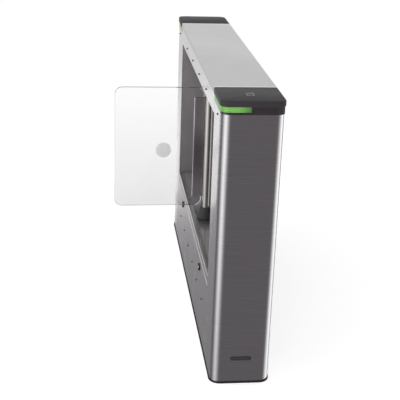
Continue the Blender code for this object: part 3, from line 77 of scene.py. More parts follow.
# Places and limits shared by several pieces
SKIN_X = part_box("front_column_shell")[0].x
SKIN_END_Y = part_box("front_column_shell")[0].y
SHAFT = Vector(JOINTS["wing_swing"]["pos_m"])
WELD = 0.00001
SMOOTH_ANGLE = math.radians(34)
FIT = 0.0003
SKIN_GAP = 0.00002
BOOT_TURN = 96
FINE_TURN = 64
SMALL_TURN = 40
SCREW_TURN = 24

# Nodes with a finish other than their slot's, and sheets that stay flat between their folds
OWN_PAINT = {"base_plate": "foot_black", "recess_floor": "recess_floor_sheet", "badge_plate": "badge_field",
             "outer_side_panel": "outer_panel"}
FOLDED_SHEETS = ("sill_rail", "upper_rail", "access_door")
FOLD_ROUND = 0.0007
FOLD_STEPS = 2

# Beam sensor lenses
LENS_RING_RADIUS = 0.0042
LENS_RADIUS = 0.0034
LENS_RING_PROUD = 0.0009
LENS_RING_EDGE = 0.0004
LENS_PLAY = 0.0001
LENS_DOME = 0.0030
LENS_DOME_SHARE = 0.97
LENS_DOME_STEPS = 5
LENS_ROW_END = 0.014
UPPER_LENSES = (0.115, 0.343)
DOOR_LENSES = 6

# Light strips: share of a flute's height with share of its depth
BAND_RADIUS = 0.0255
BAND_THICKNESS = 0.004
BAND_EDGE = 0.0005
FLUTES = 3
FLUTE_DEPTH = 0.0008
FLUTE_PROFILE = ((0.12, 0), (0.3, 0.7), (0.5, 1), (0.7, 0.7), (0.88, 0))
FLUTE_GLOW_PITCH = 0.0058
LAMP_PITCH = 0.0166
# Painted shade on the diffuser: start, end and strength of the darkening towards its inner end, then reach and
# strength of the darkening along the lane side
INNER_END_SHADE = (0.042, 0.002, 0.64)
LANE_FACE_SHADE = (0.016, 0.28)
GREENS = ((0.060, 0.225, 0.034), (0.165, 0.375, 0.090), (0.19, 0.42, 0.12))
# Darkest green of the painted shade on the diffuser
SHADED_GREEN = (0.014, 0.045, 0.010)
GREEN_GLOW = 0.46

# Card outline on the front cap
ICON_WIDTH = 0.023
ICON_LENGTH = 0.032
ICON_LINE = 0.0016
ICON_ROUND = 0.003
ICON_INNER_ROUND = 0.0016
ICON_PROUD = 0.0002
ICON_SETBACK = 0.090
STRIPE_MARGIN = 0.0045
STRIPE_HALF_WIDTH = 0.0011
STRIPE_ROUND = 0.0005
STRIPE_PLACE = 0.006

# Door locks: radius with distance from the face, then distance from the rim with distance from the face
BEZEL_PROUD = 0.0014
BEZEL_BORE = 0.0064
BEZEL_GROOVE = ((BEZEL_BORE, -0.0016), (0.0068, -0.0018), (0.0105, -0.0018), (0.0111, -0.0012),
                (0.0112, -0.0003), (0.0116, 0.0))
BEZEL_RIM = ((0.0014, 0.0), (0.0006, -0.0003), (0.0, -0.0011))
BARREL_RADIUS = 0.0085
KEY_RADIUS = 0.0061
KEY_EDGE = 0.0008
KEYWAY_SIZE = 0.0016
KEYWAY_DEPTH = 0.001
KEYWAY_TAPER = 0.9
PLUG_PROUD = 0.0005

# Clamp plates and their bolts: share of the head's radius with distance below its top
CLAMP_CHAMFER = 0.0016
BOLT_SHANK = 0.0030
BOLT_HEAD = 0.0045
BOLT_HEAD_HEIGHT = 0.002
BOLT_CROWN = ((1.0, 0.0016), (0.94, 0.0010), (0.8, 0.0004), (0.62, 0.0))
BOLT_SOCKET = 0.0020
BOLT_SOCKET_DEPTH = 0.0015
SOCKET_SIDES = 6

# Badge and dot
BADGE_RIM = 0.0022
BADGE_RIM_PROUD = 0.0007
DOT_RADIUS = 0.030
DOT_PROUD = 0.00025
DOT_PLACE = (-0.222, 0.612)

# Dark strip round the foot, beads and lid trims
FOOT_STRIP_RADIUS = 0.036
FOOT_STRIP_PROUD = 0.0025
FOOT_STRIP_WIDTH = 0.0044
FOOT_STRIP_HEIGHT = 0.0062
FOOT_STRIP_LOW = 0.0001
BEAD_RADIUS = 0.0013
BEAD_MARGIN = 0.001
TRIM_LENGTH = 0.010
TRIM_FLAT_SHARE = 0.8
TRIM_PROUD = 0.0003
TRIM_SINK = 0.0002
TRIM_MARGIN = 0.0012

# Terminal rows: piece, node, blocks, pitch, height and finish
TERMINAL_ROWS = (("controller_inputs", "lane_controller", 16, 0.0102, 0.030, "terminal_green"),
                 ("controller_outputs", "lane_controller", 12, 0.0102, 0.048, "terminal_green"),
                 ("supply_terminals", "power_supply", 9, 0.0112, 0.026, "dark_housing"))
TERMINAL_DEPTH = 0.009
TERMINAL_SINK = 0.001
TERMINAL_HEIGHT = 0.011
TERMINAL_WELL = 0.0025
TERMINAL_WIDTH_SHARE = 0.92
TERMINAL_RIM_SHARE = 0.2

# Bearing flange screws: share of the head's radius with height
FLANGE_HEIGHT = 0.005
FLANGE_CIRCLE = 0.031
FLANGE_SCREWS = 4
FLANGE_SCREW_RADIUS = 0.0027
FLANGE_SCREW_PROFILE = ((0, -0.001), (1, -0.001), (1, 0.0030), (0.9, 0.0034), (0.55, 0.0034),
                        (0.50, 0.0016), (0, 0.0016))

# Grain directions, the span that noise mostly keeps to, and the widths of rubbed edges
LEVEL_GRAIN = (9.0, 9.0, 1500.0)
LONG_GRAIN = (900.0, 12.0, 900.0)
UPRIGHT_GRAIN = (900.0, 900.0, 12.0)
EVEN_GRAIN = (300.0, 300.0, 300.0)
COARSE_GRAIN = 0.16
GRAIN_TURN = 0.25
NOISE_SPAN = (0.3, 0.7)
STEEL_EDGE = 0.0016
COAT_EDGE = 0.0014
PLASTIC_EDGE = 0.0012
CASTING_EDGE = 0.001

# Boot and tube
BOOT_BORE = 0.0233
BOOT_TOP = 0.0252
BOOT_ROUND = 0.0006
BOOT_LIP = 0.0018
BOOT_FLARE_LOW = 0.0028
BOOT_FLARE_POWER = 1.15
BOOT_STEPS = 18
# Painted shadow round the boot on the recess floor: distance from the shaft where it is darkest, then where it has
# faded out
BOOT_SHADOW_REACH = (0.045, 0.150)
TUBE_WALL = 0.003
TUBE_CHAMFER = 0.0008
TUBE_STRIP_PLACE = (0.0225, -0.046)
TUBE_STRIP_SIZE = (0.016, 0.50)
TUBE_STRIP_WATTS = 0.017

# Soft boxes: place, aim, size and watts
SOFT_BOXES = {"top_box": ((-0.4, -0.4, 3.2), (0, 0, 0.5), (2.6, 2.6), 8.5),
              "front_box": ((-0.4, -3.4, 0.9), (0, -0.4, 0.6), (2.4, 1.6), 36),
              "lane_box": ((-3.2, -0.6, 2.0), (0, 0.1, 0.6), (2.4, 2.2), 42)}
FLOOR_HALF = 14
FLOOR_SINK = 0.0005
FLOOR_GLOW = 0.605

# The room that the metal reflects: degrees from the front towards the lane, or height of the
# direction, each with a brightness
ROOM_SIDES = ((-180, 0.0), (6, 0.0), (15, 0.1), (24, 0.34), (34, 0.85), (45, 1.4), (55, 1.85),
              (65, 1.8), (75, 1.2), (84, 0.7), (91, 0.42), (97, 0.0), (180, 0.0))
ROOM_SIDE_HEIGHT = ((-0.57, 0.18), (-0.5, 0.23), (-0.44, 0.30), (-0.403, 0.41), (-0.365, 0.55),
                    (-0.315, 0.77), (-0.27, 0.93), (-0.1, 1.0))
ROOM_RIGHT = ((-180, 0.0), (-142, 0.0), (-128, 0.8), (-117, 1.3), (-107, 1.45), (-97, 1.2),
              (-85, 0.8), (-73, 0.40), (-57, 0.0), (180, 0.0))
ROOM_RIGHT_HEIGHT = ((-0.6, 0.85), (-0.45, 0.95), (-0.3, 1.0), (0.1, 1.0))
ROOM_REAR = ((-180, 1.0), (-178, 1.0), (-174, 0.0), (122, 0.0), (130, 1.0), (180, 1.0))
ROOM_REAR_HEIGHT = ((-0.6, 0.04), (-0.47, 0.045), (-0.44, 0.055), (-0.403, 0.065), (-0.365, 0.11),
                    (-0.34, 0.16), (-0.315, 0.19), (-0.295, 0.36), (-0.27, 0.52), (-0.2, 0.57),
                    (0.05, 0.57))
ROOM_FAR = ((-180, 1.0), (-177, 1.0), (-175, 0.0), (173, 0.0), (174.5, 1.0), (180, 1.0))
ROOM_FAR_HEIGHT = ((-0.6, 0.0), (-0.385, 0.0), (-0.36, 0.6), (-0.34, 2.2), (-0.315, 1.8), (-0.27, 1.1),
                   (-0.245, 0.4), (-0.22, 0.05), (0.05, 0.0))
ROOM_BASE = 0.137
ROOM_SHADE_TINT = (1.02, 0.955, 1.02)
ROOM_SHADE_END = 0.5
ROOM_CEILING = ((0.05, 0.95), (0.16, 0.82), (0.3, 0.72), (0.45, 0.70), (0.75, 0.8), (1.0, 0.9))
ROOM_CEILING_TURN = ((-180, 1.0), (-75, 1.0), (-45, 0.2), (25, 0.2), (55, 1.0), (180, 1.0))
ROOM_HORIZON = (-0.10, 0.05)


class Paint:
    """One node material and short ways to add to it."""

    def __init__(self, name):
        self.material = bpy.data.materials.new(name)
        self.material.use_nodes = True
        self.nodes = self.material.node_tree.nodes
        self.links = self.material.node_tree.links
        self.shader = self.nodes["Principled BSDF"]
        self.place = self.nodes.new("ShaderNodeTexCoord").outputs["Object"]

    def add(self, kind, **settings):
        """A new node with its settings."""
        node = self.nodes.new("ShaderNode" + kind)
        for key, value in settings.items():
            setattr(node, key, value)
        return node

    def put(self, socket, value):
        """Sets a socket, or links it."""
        if isinstance(value, bpy.types.NodeSocket):
            self.links.new(value, socket)
        elif isinstance(value, (tuple, list)) and len(value) == 3 and socket.type == "RGBA":
            socket.default_value = (*value, 1)
        else:
            socket.default_value = value

    def set(self, **values):
        """Sets or links inputs of the surface shader."""
        for key, value in values.items():
            self.put(self.shader.inputs[key.replace("_", " ")], value)

    def noise(self, scale, stretch=(1, 1, 1), detail=4.0, roughness=0.55, distortion=0.0):
        """Noise in the object's own frame, stretched along its axes."""
        mapping = self.add("Mapping")
        self.links.new(self.place, mapping.inputs["Vector"])
        mapping.inputs["Scale"].default_value = stretch
        noise = self.add("TexNoise")
        self.links.new(mapping.outputs["Vector"], noise.inputs["Vector"])
        for key, value in (("Scale", scale), ("Detail", detail), ("Roughness", roughness),
                           ("Distortion", distortion)):
            noise.inputs[key].default_value = value
        return noise.outputs["Fac"]

    def cells(self, scale):
        """Distance to the nearest point of a scattered set."""
        cells = self.add("TexVoronoi")
        self.links.new(self.place, cells.inputs["Vector"])
        cells.inputs["Scale"].default_value = scale
        return cells.outputs["Distance"]

    def span(self, value, low, high, to_low, to_high):
        """Maps a value's span onto another one."""
        spread = self.add("MapRange")
        for key, item in (("Value", value), ("From Min", low), ("From Max", high),
                          ("To Min", to_low), ("To Max", to_high)):
            self.put(spread.inputs[key], item)
        return spread.outputs["Result"]

    def soften(self, noise, to_low, to_high):
        """Maps the usual span of a noise onto another one."""
        return self.span(noise, *NOISE_SPAN, to_low, to_high)

    def calc(self, operation, first, second=0.0):
        """One sum on numbers or sockets."""
        node = self.add("Math", operation=operation)
        self.put(node.inputs[0], first)
        self.put(node.inputs[1], second)
        return node.outputs[0]

    def mix(self, share, first, second):
        """A colour between two, by share."""
        node = self.add("Mix", data_type="RGBA")
        self.put(node.inputs["Factor"], share)
        self.put(node.inputs["A"], first)
        self.put(node.inputs["B"], second)
        return node.outputs["Result"]

    def axis(self, letter):
        """One coordinate in the object's own frame."""
        split = self.add("SeparateXYZ")
        self.links.new(self.place, split.inputs[0])
        return split.outputs[letter]

    def normal(self, letter):
        """One part of the surface's direction in the object's own frame."""
        split = self.add("SeparateXYZ")
        self.links.new(self.add("TexCoord").outputs["Normal"], split.inputs[0])
        return split.outputs[letter]

    def edges(self, radius, low=0.02, high=0.16):
        """1 on edges, 0 on flat faces."""
        bevel = self.add("Bevel", samples=4)
        bevel.inputs["Radius"].default_value = radius
        geometry = self.add("NewGeometry")
        dot = self.add("VectorMath", operation="DOT_PRODUCT")
        self.links.new(bevel.outputs["Normal"], dot.inputs[0])
        self.links.new(geometry.outputs["Normal"], dot.inputs[1])
        return self.span(self.calc("SUBTRACT", 1.0, dot.outputs["Value"]), low, high, 0.0, 1.0)

    def bump(self, height, strength, distance):
        """Fine relief from a height."""
        bump = self.add("Bump")
        self.put(bump.inputs["Height"], height)
        bump.inputs["Strength"].default_value = strength
        bump.inputs["Distance"].default_value = distance
        self.links.new(bump.outputs["Normal"], self.shader.inputs["Normal"])


def toned(colour, factor):
    """A colour made darker or lighter."""
    return tuple(part * factor for part in colour)


def lit(colour, factor, lift=0.0):
    """A lighter colour, no brighter than white."""
    return tuple(min(1.0, part * factor + lift) for part in colour)


def brushed(name, colour, roughness, grain, spread=0.10, anisotropy=0.0, patches=0.16, shade=None):
    """Brushed metal: streaks along the grain, faint smudges, bright worn edges, and if asked a band of painted
    shade round one height.
    """
    paint = Paint(name)
    coarse = paint.noise(1.0, toned(grain, COARSE_GRAIN), detail=6.0, roughness=0.62)
    fine = paint.noise(1.0, grain, detail=3.0, roughness=0.6)
    streak = paint.calc("ADD", paint.calc("MULTIPLY", coarse, 0.45), paint.calc("MULTIPLY", fine, 0.55))
    smudge = paint.noise(7.0, detail=3.0, roughness=0.5, distortion=0.4)
    body = paint.mix(paint.span(streak, 0.36, 0.64, 0.0, 1.0), toned(colour, 1 - spread),
                     lit(colour, 1 + spread))
    body = paint.mix(paint.span(smudge, 0.42, 0.7, 0.0, patches), body, toned(colour, 0.5))
    # Painted shade: a darker band round the given height, fading out by the given reach
    if shade:
        middle, reach = shade
        away = paint.calc("ABSOLUTE", paint.calc("SUBTRACT", paint.axis("Z"), middle))
        body = paint.mix(paint.span(away, reach * 0.3, reach, 0.62, 0.0), body, toned(colour, 0.3))
    worn = paint.calc("MULTIPLY", paint.edges(STEEL_EDGE), 0.35)
    body = paint.mix(worn, body, lit(colour, 1.35, 0.06))
    rough = paint.soften(streak, roughness - 0.02, roughness + 0.02)
    rough = paint.calc("ADD", rough, paint.span(smudge, 0.2, 0.8, -0.02, 0.03))
    paint.set(Base_Color=body, Metallic=1.0, Roughness=rough)
    if anisotropy:
        paint.shader.inputs["Anisotropic"].default_value = anisotropy
        paint.shader.inputs["Anisotropic Rotation"].default_value = GRAIN_TURN
        tangent = paint.add("Tangent", direction_type="RADIAL", axis="Z")
        paint.links.new(tangent.outputs[0], paint.shader.inputs["Tangent"])
    paint.bump(fine, 0.012, 0.0002)
    return paint.material


def coated(name, colour, roughness, metallic=0.0, texture=900.0, bump=0.12, wear=0.3,
           specular=0.25, boot_shadow=None):
    """Powder-coated sheet or moulded plastic: a fine pebbled skin, handling marks, lighter edges, and if asked a
    painted shadow round the wing's shaft.
    """
    paint = Paint(name)
    pebble = paint.cells(texture)
    cloud = paint.noise(9.0, detail=5.0, roughness=0.55)
    speck = paint.noise(texture * 0.5, detail=2.0, roughness=0.5)
    body = paint.mix(paint.span(cloud, 0.15, 0.85, 0.0, 1.0), toned(colour, 0.88), toned(colour, 1.12))
    body = paint.mix(paint.span(speck, 0.45, 0.7, 0.0, 0.25), body, toned(colour, 1.3))
    worn = paint.calc("MULTIPLY", paint.edges(COAT_EDGE), wear)
    body = paint.mix(worn, body, lit(colour, 1.7, 0.02))
    # Painted shadow: the sheet darkens towards the shaft, darkest next to the boot's foot
    if boot_shadow:
        near, far = boot_shadow
        across = paint.calc("POWER", paint.calc("SUBTRACT", paint.axis("X"), SHAFT.x), 2.0)
        along = paint.calc("POWER", paint.calc("SUBTRACT", paint.axis("Y"), SHAFT.y), 2.0)
        away = paint.calc("SQRT", paint.calc("ADD", across, along))
        body = paint.mix(paint.span(away, near, far, 0.95, 0.0), body, toned(colour, 0.2))
    paint.set(Base_Color=body, Metallic=metallic, Specular_IOR_Level=specular,
              Roughness=paint.span(cloud, 0.1, 0.9, roughness - 0.05, roughness + 0.07))
    paint.bump(pebble, bump, 0.0003)
    return paint.material


def smoked(name):
    """Glossy smoked plastic with a hint of depth."""
    paint = Paint(name)
    cloud = paint.noise(14.0, detail=4.0)
    swirl = paint.noise(160.0, (1, 1, 3), detail=2.0)
    body = paint.mix(paint.soften(cloud, 0.0, 1.0), (0.016, 0.013, 0.015), (0.030, 0.025, 0.028))
    body = paint.mix(paint.calc("MULTIPLY", paint.edges(PLASTIC_EDGE), 0.4), body, (0.09, 0.085, 0.09))
    paint.set(Base_Color=body, Roughness=paint.soften(swirl, 0.10, 0.20), Coat_Weight=0.4,
              Coat_Roughness=0.06)
    paint.bump(swirl, 0.04, 0.0003)
    return paint.material


def light_band(name):
    """Green diffuser, lit from inside, with brighter bands along it, and painted shade darkening its inner end and
    its run along the lane side.
    """
    paint = Paint(name)
    low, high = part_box("front_light_strip")
    wave = paint.calc("SINE", paint.calc("MULTIPLY", paint.axis("Z"), 2 * math.pi / FLUTE_GLOW_PITCH))
    lamps = paint.calc("SINE", paint.calc("MULTIPLY", paint.axis("Y"), 2 * math.pi / LAMP_PITCH))
    glow = paint.calc("ADD", paint.span(wave, -1.0, 1.0, 0.0, 0.75),
                      paint.span(lamps, -1.0, 1.0, 0.0, 0.25))
    grain = paint.noise(420.0, detail=3.0)
    dark, middle, light = GREENS
    body = paint.mix(glow, dark, middle)
    body = paint.mix(paint.soften(grain, 0.0, 0.2), body, light)
    # Painted shade: the diffuser darkens towards its inner end and along the lane side
    start, stop, most = INNER_END_SHADE
    inner_end_shade = paint.span(paint.axis("X"), high.x - start, high.x - stop, 0.0, most)
    reach, most = LANE_FACE_SHADE
    lane_face_shade = paint.span(paint.axis("X"), low.x, low.x + reach, most, 0.0)
    body = paint.mix(paint.calc("ADD", inner_end_shade, lane_face_shade), body, SHADED_GREEN)
    paint.set(Base_Color=body, Roughness=paint.soften(grain, 0.26, 0.40),
              Specular_IOR_Level=0.2, Emission_Color=body, Emission_Strength=GREEN_GLOW)
    paint.shader.inputs["Subsurface Weight"].default_value = 0.1
    paint.bump(grain, 0.05, 0.0003)
    return paint.material


def rubber(name):
    """Matt black rubber with a little dust."""
    paint = Paint(name)
    pebble = paint.noise(700.0, detail=3.0)
    dust = paint.noise(26.0, detail=6.0, roughness=0.65)
    body = paint.mix(paint.span(dust, 0.42, 0.75, 0.0, 0.5), (0.030, 0.028, 0.030), (0.052, 0.049, 0.050))
    body = paint.mix(paint.calc("MULTIPLY", paint.edges(STEEL_EDGE), 0.5), body, (0.10, 0.097, 0.098))
    paint.set(Base_Color=body, Roughness=paint.soften(dust, 0.48, 0.66))
    paint.bump(pebble, 0.15, 0.0004)
    return paint.material


def clear_glass(name):
    """Clear toughened glass, a little greyer towards its foot."""
    paint = Paint(name)
    low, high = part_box("glass_wing")
    rise = paint.span(paint.axis("Z"), low.z, high.z, 0.0, 1.0)
    film = paint.noise(5.0, detail=3.0)
    tint = paint.mix(rise, (0.70, 0.70, 0.705), (0.955, 0.955, 0.955))
    tint = paint.mix(paint.span(film, 0.35, 0.7, 0.0, 0.2), tint, (0.90, 0.90, 0.90))
    facing = paint.calc("ABSOLUTE", paint.normal("Y"))
    edge = paint.mix(rise, (0.80, 0.80, 0.80), (0.16, 0.16, 0.165))
    tint = paint.mix(paint.span(facing, 0.5, 0.95, 1.0, 0.0), tint, edge)
    paint.set(Base_Color=tint, Roughness=paint.soften(film, 0.0, 0.02), Transmission_Weight=1.0,
              IOR=1.46)
    return paint.material


def frosted(name):
    """Frosted film on the glass."""
    paint = Paint(name)
    grain = paint.noise(900.0, detail=3.0)
    body = paint.mix(paint.soften(grain, 0.0, 1.0), (0.66, 0.665, 0.67), (0.76, 0.765, 0.77))
    paint.set(Base_Color=body, Roughness=paint.soften(grain, 0.45, 0.6), Alpha=0.28)
    paint.bump(grain, 0.1, 0.0002)
    return paint.material


def cast(name, colour):
    """Bead-blasted casting."""
    paint = Paint(name)
    grain = paint.noise(600.0, detail=4.0)
    cloud = paint.noise(20.0, detail=4.0)
    body = paint.mix(paint.soften(cloud, 0.0, 1.0), toned(colour, 0.85), colour)
    body = paint.mix(paint.calc("MULTIPLY", paint.edges(CASTING_EDGE), 0.5), body, (0.8, 0.8, 0.8))
    paint.set(Base_Color=body, Metallic=0.9, Roughness=paint.soften(grain, 0.38, 0.58))
    paint.bump(grain, 0.2, 0.0003)
    return paint.material


def lens(name):
    """Dark infrared window."""
    paint = Paint(name)
    cloud = paint.noise(300.0, detail=3.0)
    body = paint.mix(paint.soften(cloud, 0.0, 1.0), (0.010, 0.007, 0.009), (0.035, 0.018, 0.022))
    paint.set(Base_Color=body, Roughness=paint.soften(cloud, 0.45, 0.6), Specular_IOR_Level=0.08)
    return paint.material


PAINTS = {
    "brushed_steel": brushed("brushed_steel_look", (0.703, 0.690, 0.700), 0.25, LEVEL_GRAIN, 0.10, 0.85,
                             patches=0.03),
    "lid_steel": brushed("lid_steel_look", (0.695, 0.693, 0.697), 0.34, LONG_GRAIN, 0.02, patches=0.04),
    "polished_steel": brushed("polished_steel_look", (0.42, 0.402, 0.388), 0.12, UPRIGHT_GRAIN, 0.03),
    "zinc_steel": brushed("zinc_steel_look", (0.52, 0.53, 0.54), 0.40, EVEN_GRAIN, 0.12),
    "recess_sheet": coated("recess_sheet_look", (0.235, 0.222, 0.232), 0.30, 0.1, wear=0.2, specular=0.4),
    "cap_plastic": coated("cap_plastic_look", (0.037, 0.0335, 0.037), 0.46, bump=0.1, specular=0.10),
    "smoked_plastic": smoked("smoked_plastic_look"),
    "green_light": light_band("green_light_look"),
    "boot_rubber": rubber("boot_rubber_look"),
    # The clamp plates carry a band of painted shade round their middle height
    "clamp_steel": brushed("clamp_steel_look", (0.76, 0.72, 0.74), 0.34, UPRIGHT_GRAIN, 0.08,
                           patches=0.3, shade=(0.59, 0.13)),
    "glass": clear_glass("glass_look"),
    "dark_housing": coated("dark_housing_look", (0.030, 0.030, 0.032), 0.42, texture=700.0, specular=0.15),
    "cast_aluminium": cast("cast_aluminium_look", (0.56, 0.56, 0.57)),
    # The recess floor carries a painted shadow round the boot's foot
    "recess_floor_sheet": coated("recess_floor_look", (0.49, 0.475, 0.48), 0.15, 0.6, bump=0.05, wear=0.2,
                                 boot_shadow=BOOT_SHADOW_REACH),
    "foot_black": coated("foot_black_look", (0.020, 0.020, 0.021), 0.6, wear=0.0, specular=0.05),
    "lens": lens("lens_look"),
    "trim": brushed("trim_look", (0.98, 0.98, 0.985), 0.30, EVEN_GRAIN, 0.01),
    "frosted": frosted("frosted_film_look"),
    "outer_panel": brushed("outer_panel_look", (0.44, 0.428, 0.436), 0.32, LEVEL_GRAIN, 0.06, 0.6,
                           patches=0.05),
    "plug_steel": coated("plug_steel_look", (0.50, 0.485, 0.46), 0.34, 0.15, texture=1500.0, wear=0.0,
                         specular=0.5),
    "bolt_steel": coated("bolt_steel_look", (0.80, 0.78, 0.78), 0.30, 0.2, texture=1500.0, wear=0.0,
                         specular=0.6),
    "terminal_green": coated("terminal_green_look", (0.015, 0.16, 0.045), 0.42, texture=1400.0, bump=0.05,
                             wear=0.2),
    "badge_field": coated("badge_field_look", (0.040, 0.037, 0.040), 0.45, texture=1600.0, wear=0.0,
                          specular=0.1),
    "card_print": coated("card_print_look", (0.46, 0.455, 0.46), 0.4, texture=1200.0),
}


def dress(node, paint):
    """Gives a CAD node its finish, with smooth shading on its rounded faces."""
    mesh = node.data
    mesh.materials.clear()
    mesh.materials.append(paint)
    for face in mesh.polygons:
        face.material_index = 0
        face.use_smooth = node.name not in FOLDED_SHEETS
    own_normals = mesh.attributes.get("custom_normal")
    if own_normals:
        mesh.attributes.remove(own_normals)
    weld = node.modifiers.new("weld", "WELD")
    weld.merge_threshold = WELD
    if node.name in FOLDED_SHEETS:
        rounding = node.modifiers.new("folded_edges", "BEVEL")
        rounding.width = FOLD_ROUND
        rounding.segments = FOLD_STEPS
        rounding.limit_method = "ANGLE"
        rounding.angle_limit = SMOOTH_ANGLE
    split = node.modifiers.new("sharp_edges", "EDGE_SPLIT")
    split.split_angle = SMOOTH_ANGLE
    split.use_edge_sharp = False


def dress_all():
    """Every CAD node takes the finish of its slot."""
    for entry in frame["record"]["subparts"]:
        dress(NODES[entry["node"]], PAINTS[OWN_PAINT.get(entry["node"], entry["material_slot"])])
    NODES["glass_wing"].visible_shadow = False


def piece(name, bm, paint, body, angle=SMOOTH_ANGLE):
    """Ends a bmesh as a piece that rides on a body."""
    bmesh.ops.remove_doubles(bm, verts=bm.verts, dist=WELD)
    bmesh.ops.recalc_face_normals(bm, faces=bm.faces)
    mesh = bpy.data.meshes.new(name)
    bm.to_mesh(mesh)
    bm.free()
    mesh.materials.append(PAINTS[paint])
    mesh.shade_smooth()
    mesh.set_sharp_from_angle(angle=angle)
    made = bpy.data.objects.new(name, mesh)
    bpy.context.scene.collection.objects.link(made)
    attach(made, body)
    return made


def turn(bm, profile, centre, direction, steps=FINE_TURN, loop=False):
    """Adds a turned form: radius and distance pairs along the direction from the centre."""
    axis = Vector(direction).normalized()
    side = axis.orthogonal().normalized()
    other = axis.cross(side)
    rings = []
    for radius, along in profile:
        middle = Vector(centre) + axis * along
        if radius < WELD:
            rings.append([bm.verts.new(middle)])
            continue
        ring = []
        for step in range(steps):
            angle = 2 * math.pi * step / steps
            ring.append(bm.verts.new(middle + (side * math.cos(angle) + other * math.sin(angle)) * radius))
        rings.append(ring)
    pairs = list(zip(rings, rings[1:]))
    if loop:
        pairs.append((rings[-1], rings[0]))
    for first, second in pairs:
        for step in range(steps):
            following = (step + 1) % steps
            corners = []
            for ring, place in ((first, step), (first, following), (second, following), (second, step)):
                vertex = ring[0] if len(ring) == 1 else ring[place]
                if vertex not in corners:
                    corners.append(vertex)
            if len(corners) > 2:
                bm.faces.new(corners)


def round_path(corners, steps=12):
    """A path in the plan through corners given as x, y and radius."""
    points = []
    for index, (x, y, radius) in enumerate(corners):
        corner = Vector((x, y))
        if not radius:
            points.append(corner)
            continue
        back = (Vector(corners[index - 1][:2]) - corner).normalized()
        onward = (Vector(corners[(index + 1) % len(corners)][:2]) - corner).normalized()
        half = back.angle(onward) / 2
        centre = corner + (back + onward).normalized() * (radius / math.sin(half))
        start = corner + back * (radius / math.tan(half)) - centre
        turned = start.angle_signed(corner + onward * (radius / math.tan(half)) - centre)
        for step in range(steps + 1):
            points.append(centre + Matrix.Rotation(-turned * step / steps, 2) @ start)
    return points


def bridge(bm, first, second):
    """Faces between two closed rings of the same length."""
    for place in range(len(first)):
        following = (place + 1) % len(first)
        bm.faces.new((first[place], first[following], second[following], second[place]))


def prism(bm, first, second):
    """A closed form between two flat rings of the same length."""
    bridge(bm, first, second)
    bm.faces.new(first)
    bm.faces.new(second)


def sweep(bm, path, section):
    """Carries a section of inward distance and height pairs along an open path in the plan."""
    rings = []
    for index, point in enumerate(path):
        before = path[max(index - 1, 0)]
        after = path[min(index + 1, len(path) - 1)]
        along = (after - before).normalized()
        inward = Vector((-along.y, along.x))
        rings.append([bm.verts.new((*(point + inward * distance), height)) for distance, height in section])
    for first, second in zip(rings, rings[1:]):
        bridge(bm, first, second)
    bm.faces.new(rings[0])
    bm.faces.new(rings[-1])


def light_strips():
    """Fluted diffusers in place of the plain light strips."""
    for label, end in (("front", -1), ("rear", 1)):
        low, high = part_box(label + "_light_strip")
        near, far = (low.y, high.y) if end < 0 else (high.y, low.y)
        path = round_path([(low.x, far, 0), (low.x, near, BAND_RADIUS), (high.x, near, 0)])
        if end > 0:
            path.reverse()
        section = [(BAND_THICKNESS, low.z), (BAND_EDGE, low.z), (0, low.z + BAND_EDGE)]
        pitch = (high.z - low.z - 2 * BAND_EDGE) / FLUTES
        for flute in range(FLUTES):
            base = low.z + BAND_EDGE + pitch * flute
            section += [(FLUTE_DEPTH * depth, base + pitch * share) for share, depth in FLUTE_PROFILE]
        section += [(0, high.z - BAND_EDGE), (BAND_EDGE, high.z), (BAND_THICKNESS, high.z)]
        bm = bmesh.new()
        sweep(bm, path, section)
        made = piece(label + "_light_diffuser", bm, "green_light", "cabinet")
        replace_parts(made, label + "_light_strip")


def lens_row(name, places, level, body):
    """Small ringed lenses on the lane side."""
    inner = LENS_RADIUS
    outer = LENS_RING_RADIUS
    profile = [(inner, LENS_RING_PROUD * 0.5), (inner + LENS_RING_EDGE, LENS_RING_PROUD),
               (outer - LENS_RING_EDGE, LENS_RING_PROUD), (outer, LENS_RING_PROUD * 0.4),
               (outer, SKIN_GAP), (inner + LENS_PLAY, SKIN_GAP)]
    quarter = [math.pi / 2 * step / LENS_DOME_STEPS for step in range(LENS_DOME_STEPS)]
    cap = [(LENS_RADIUS * LENS_DOME_SHARE * math.cos(angle) ** 0.5, LENS_DOME * math.sin(angle))
           for angle in quarter]
    ring = bmesh.new()
    dome = bmesh.new()
    for y in places:
        centre = (SKIN_X, y, level)
        turn(ring, profile, centre, (-1, 0, 0), SMALL_TURN, loop=True)
        turn(dome, [(0, 0.0)] + cap + [(0, LENS_DOME)], centre, (-1, 0, 0), SMALL_TURN)
    piece(name + "_rings", ring, "dark_housing", body)
    piece(name + "_lenses", dome, "lens", body)


def lenses():
    """Both rows of beam sensor lenses."""
    low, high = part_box("upper_sensor_strip")
    distances = (*UPPER_LENSES, high.y - LENS_ROW_END)
    places = sorted(side * distance for distance in distances for side in (-1, 1))
    lens_row("upper_sensor", places, (low.z + high.z) / 2, "cabinet")
    low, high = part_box("door_sensor_strip")
    first = low.y + LENS_ROW_END
    pitch = (high.y - low.y - 2 * LENS_ROW_END) / (DOOR_LENSES - 1)
    places = [first + pitch * index for index in range(DOOR_LENSES)]
    lens_row("door_sensor", places, (low.z + high.z) / 2, "service_door")


def lock_place(label):
    """Centre of a door lock in the skin, and the distance from there to its face."""
    low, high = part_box(label + "_lock_body")
    return (SKIN_X, (low.y + high.y) / 2, (low.z + high.z) / 2), SKIN_X - low.x + BEZEL_PROUD


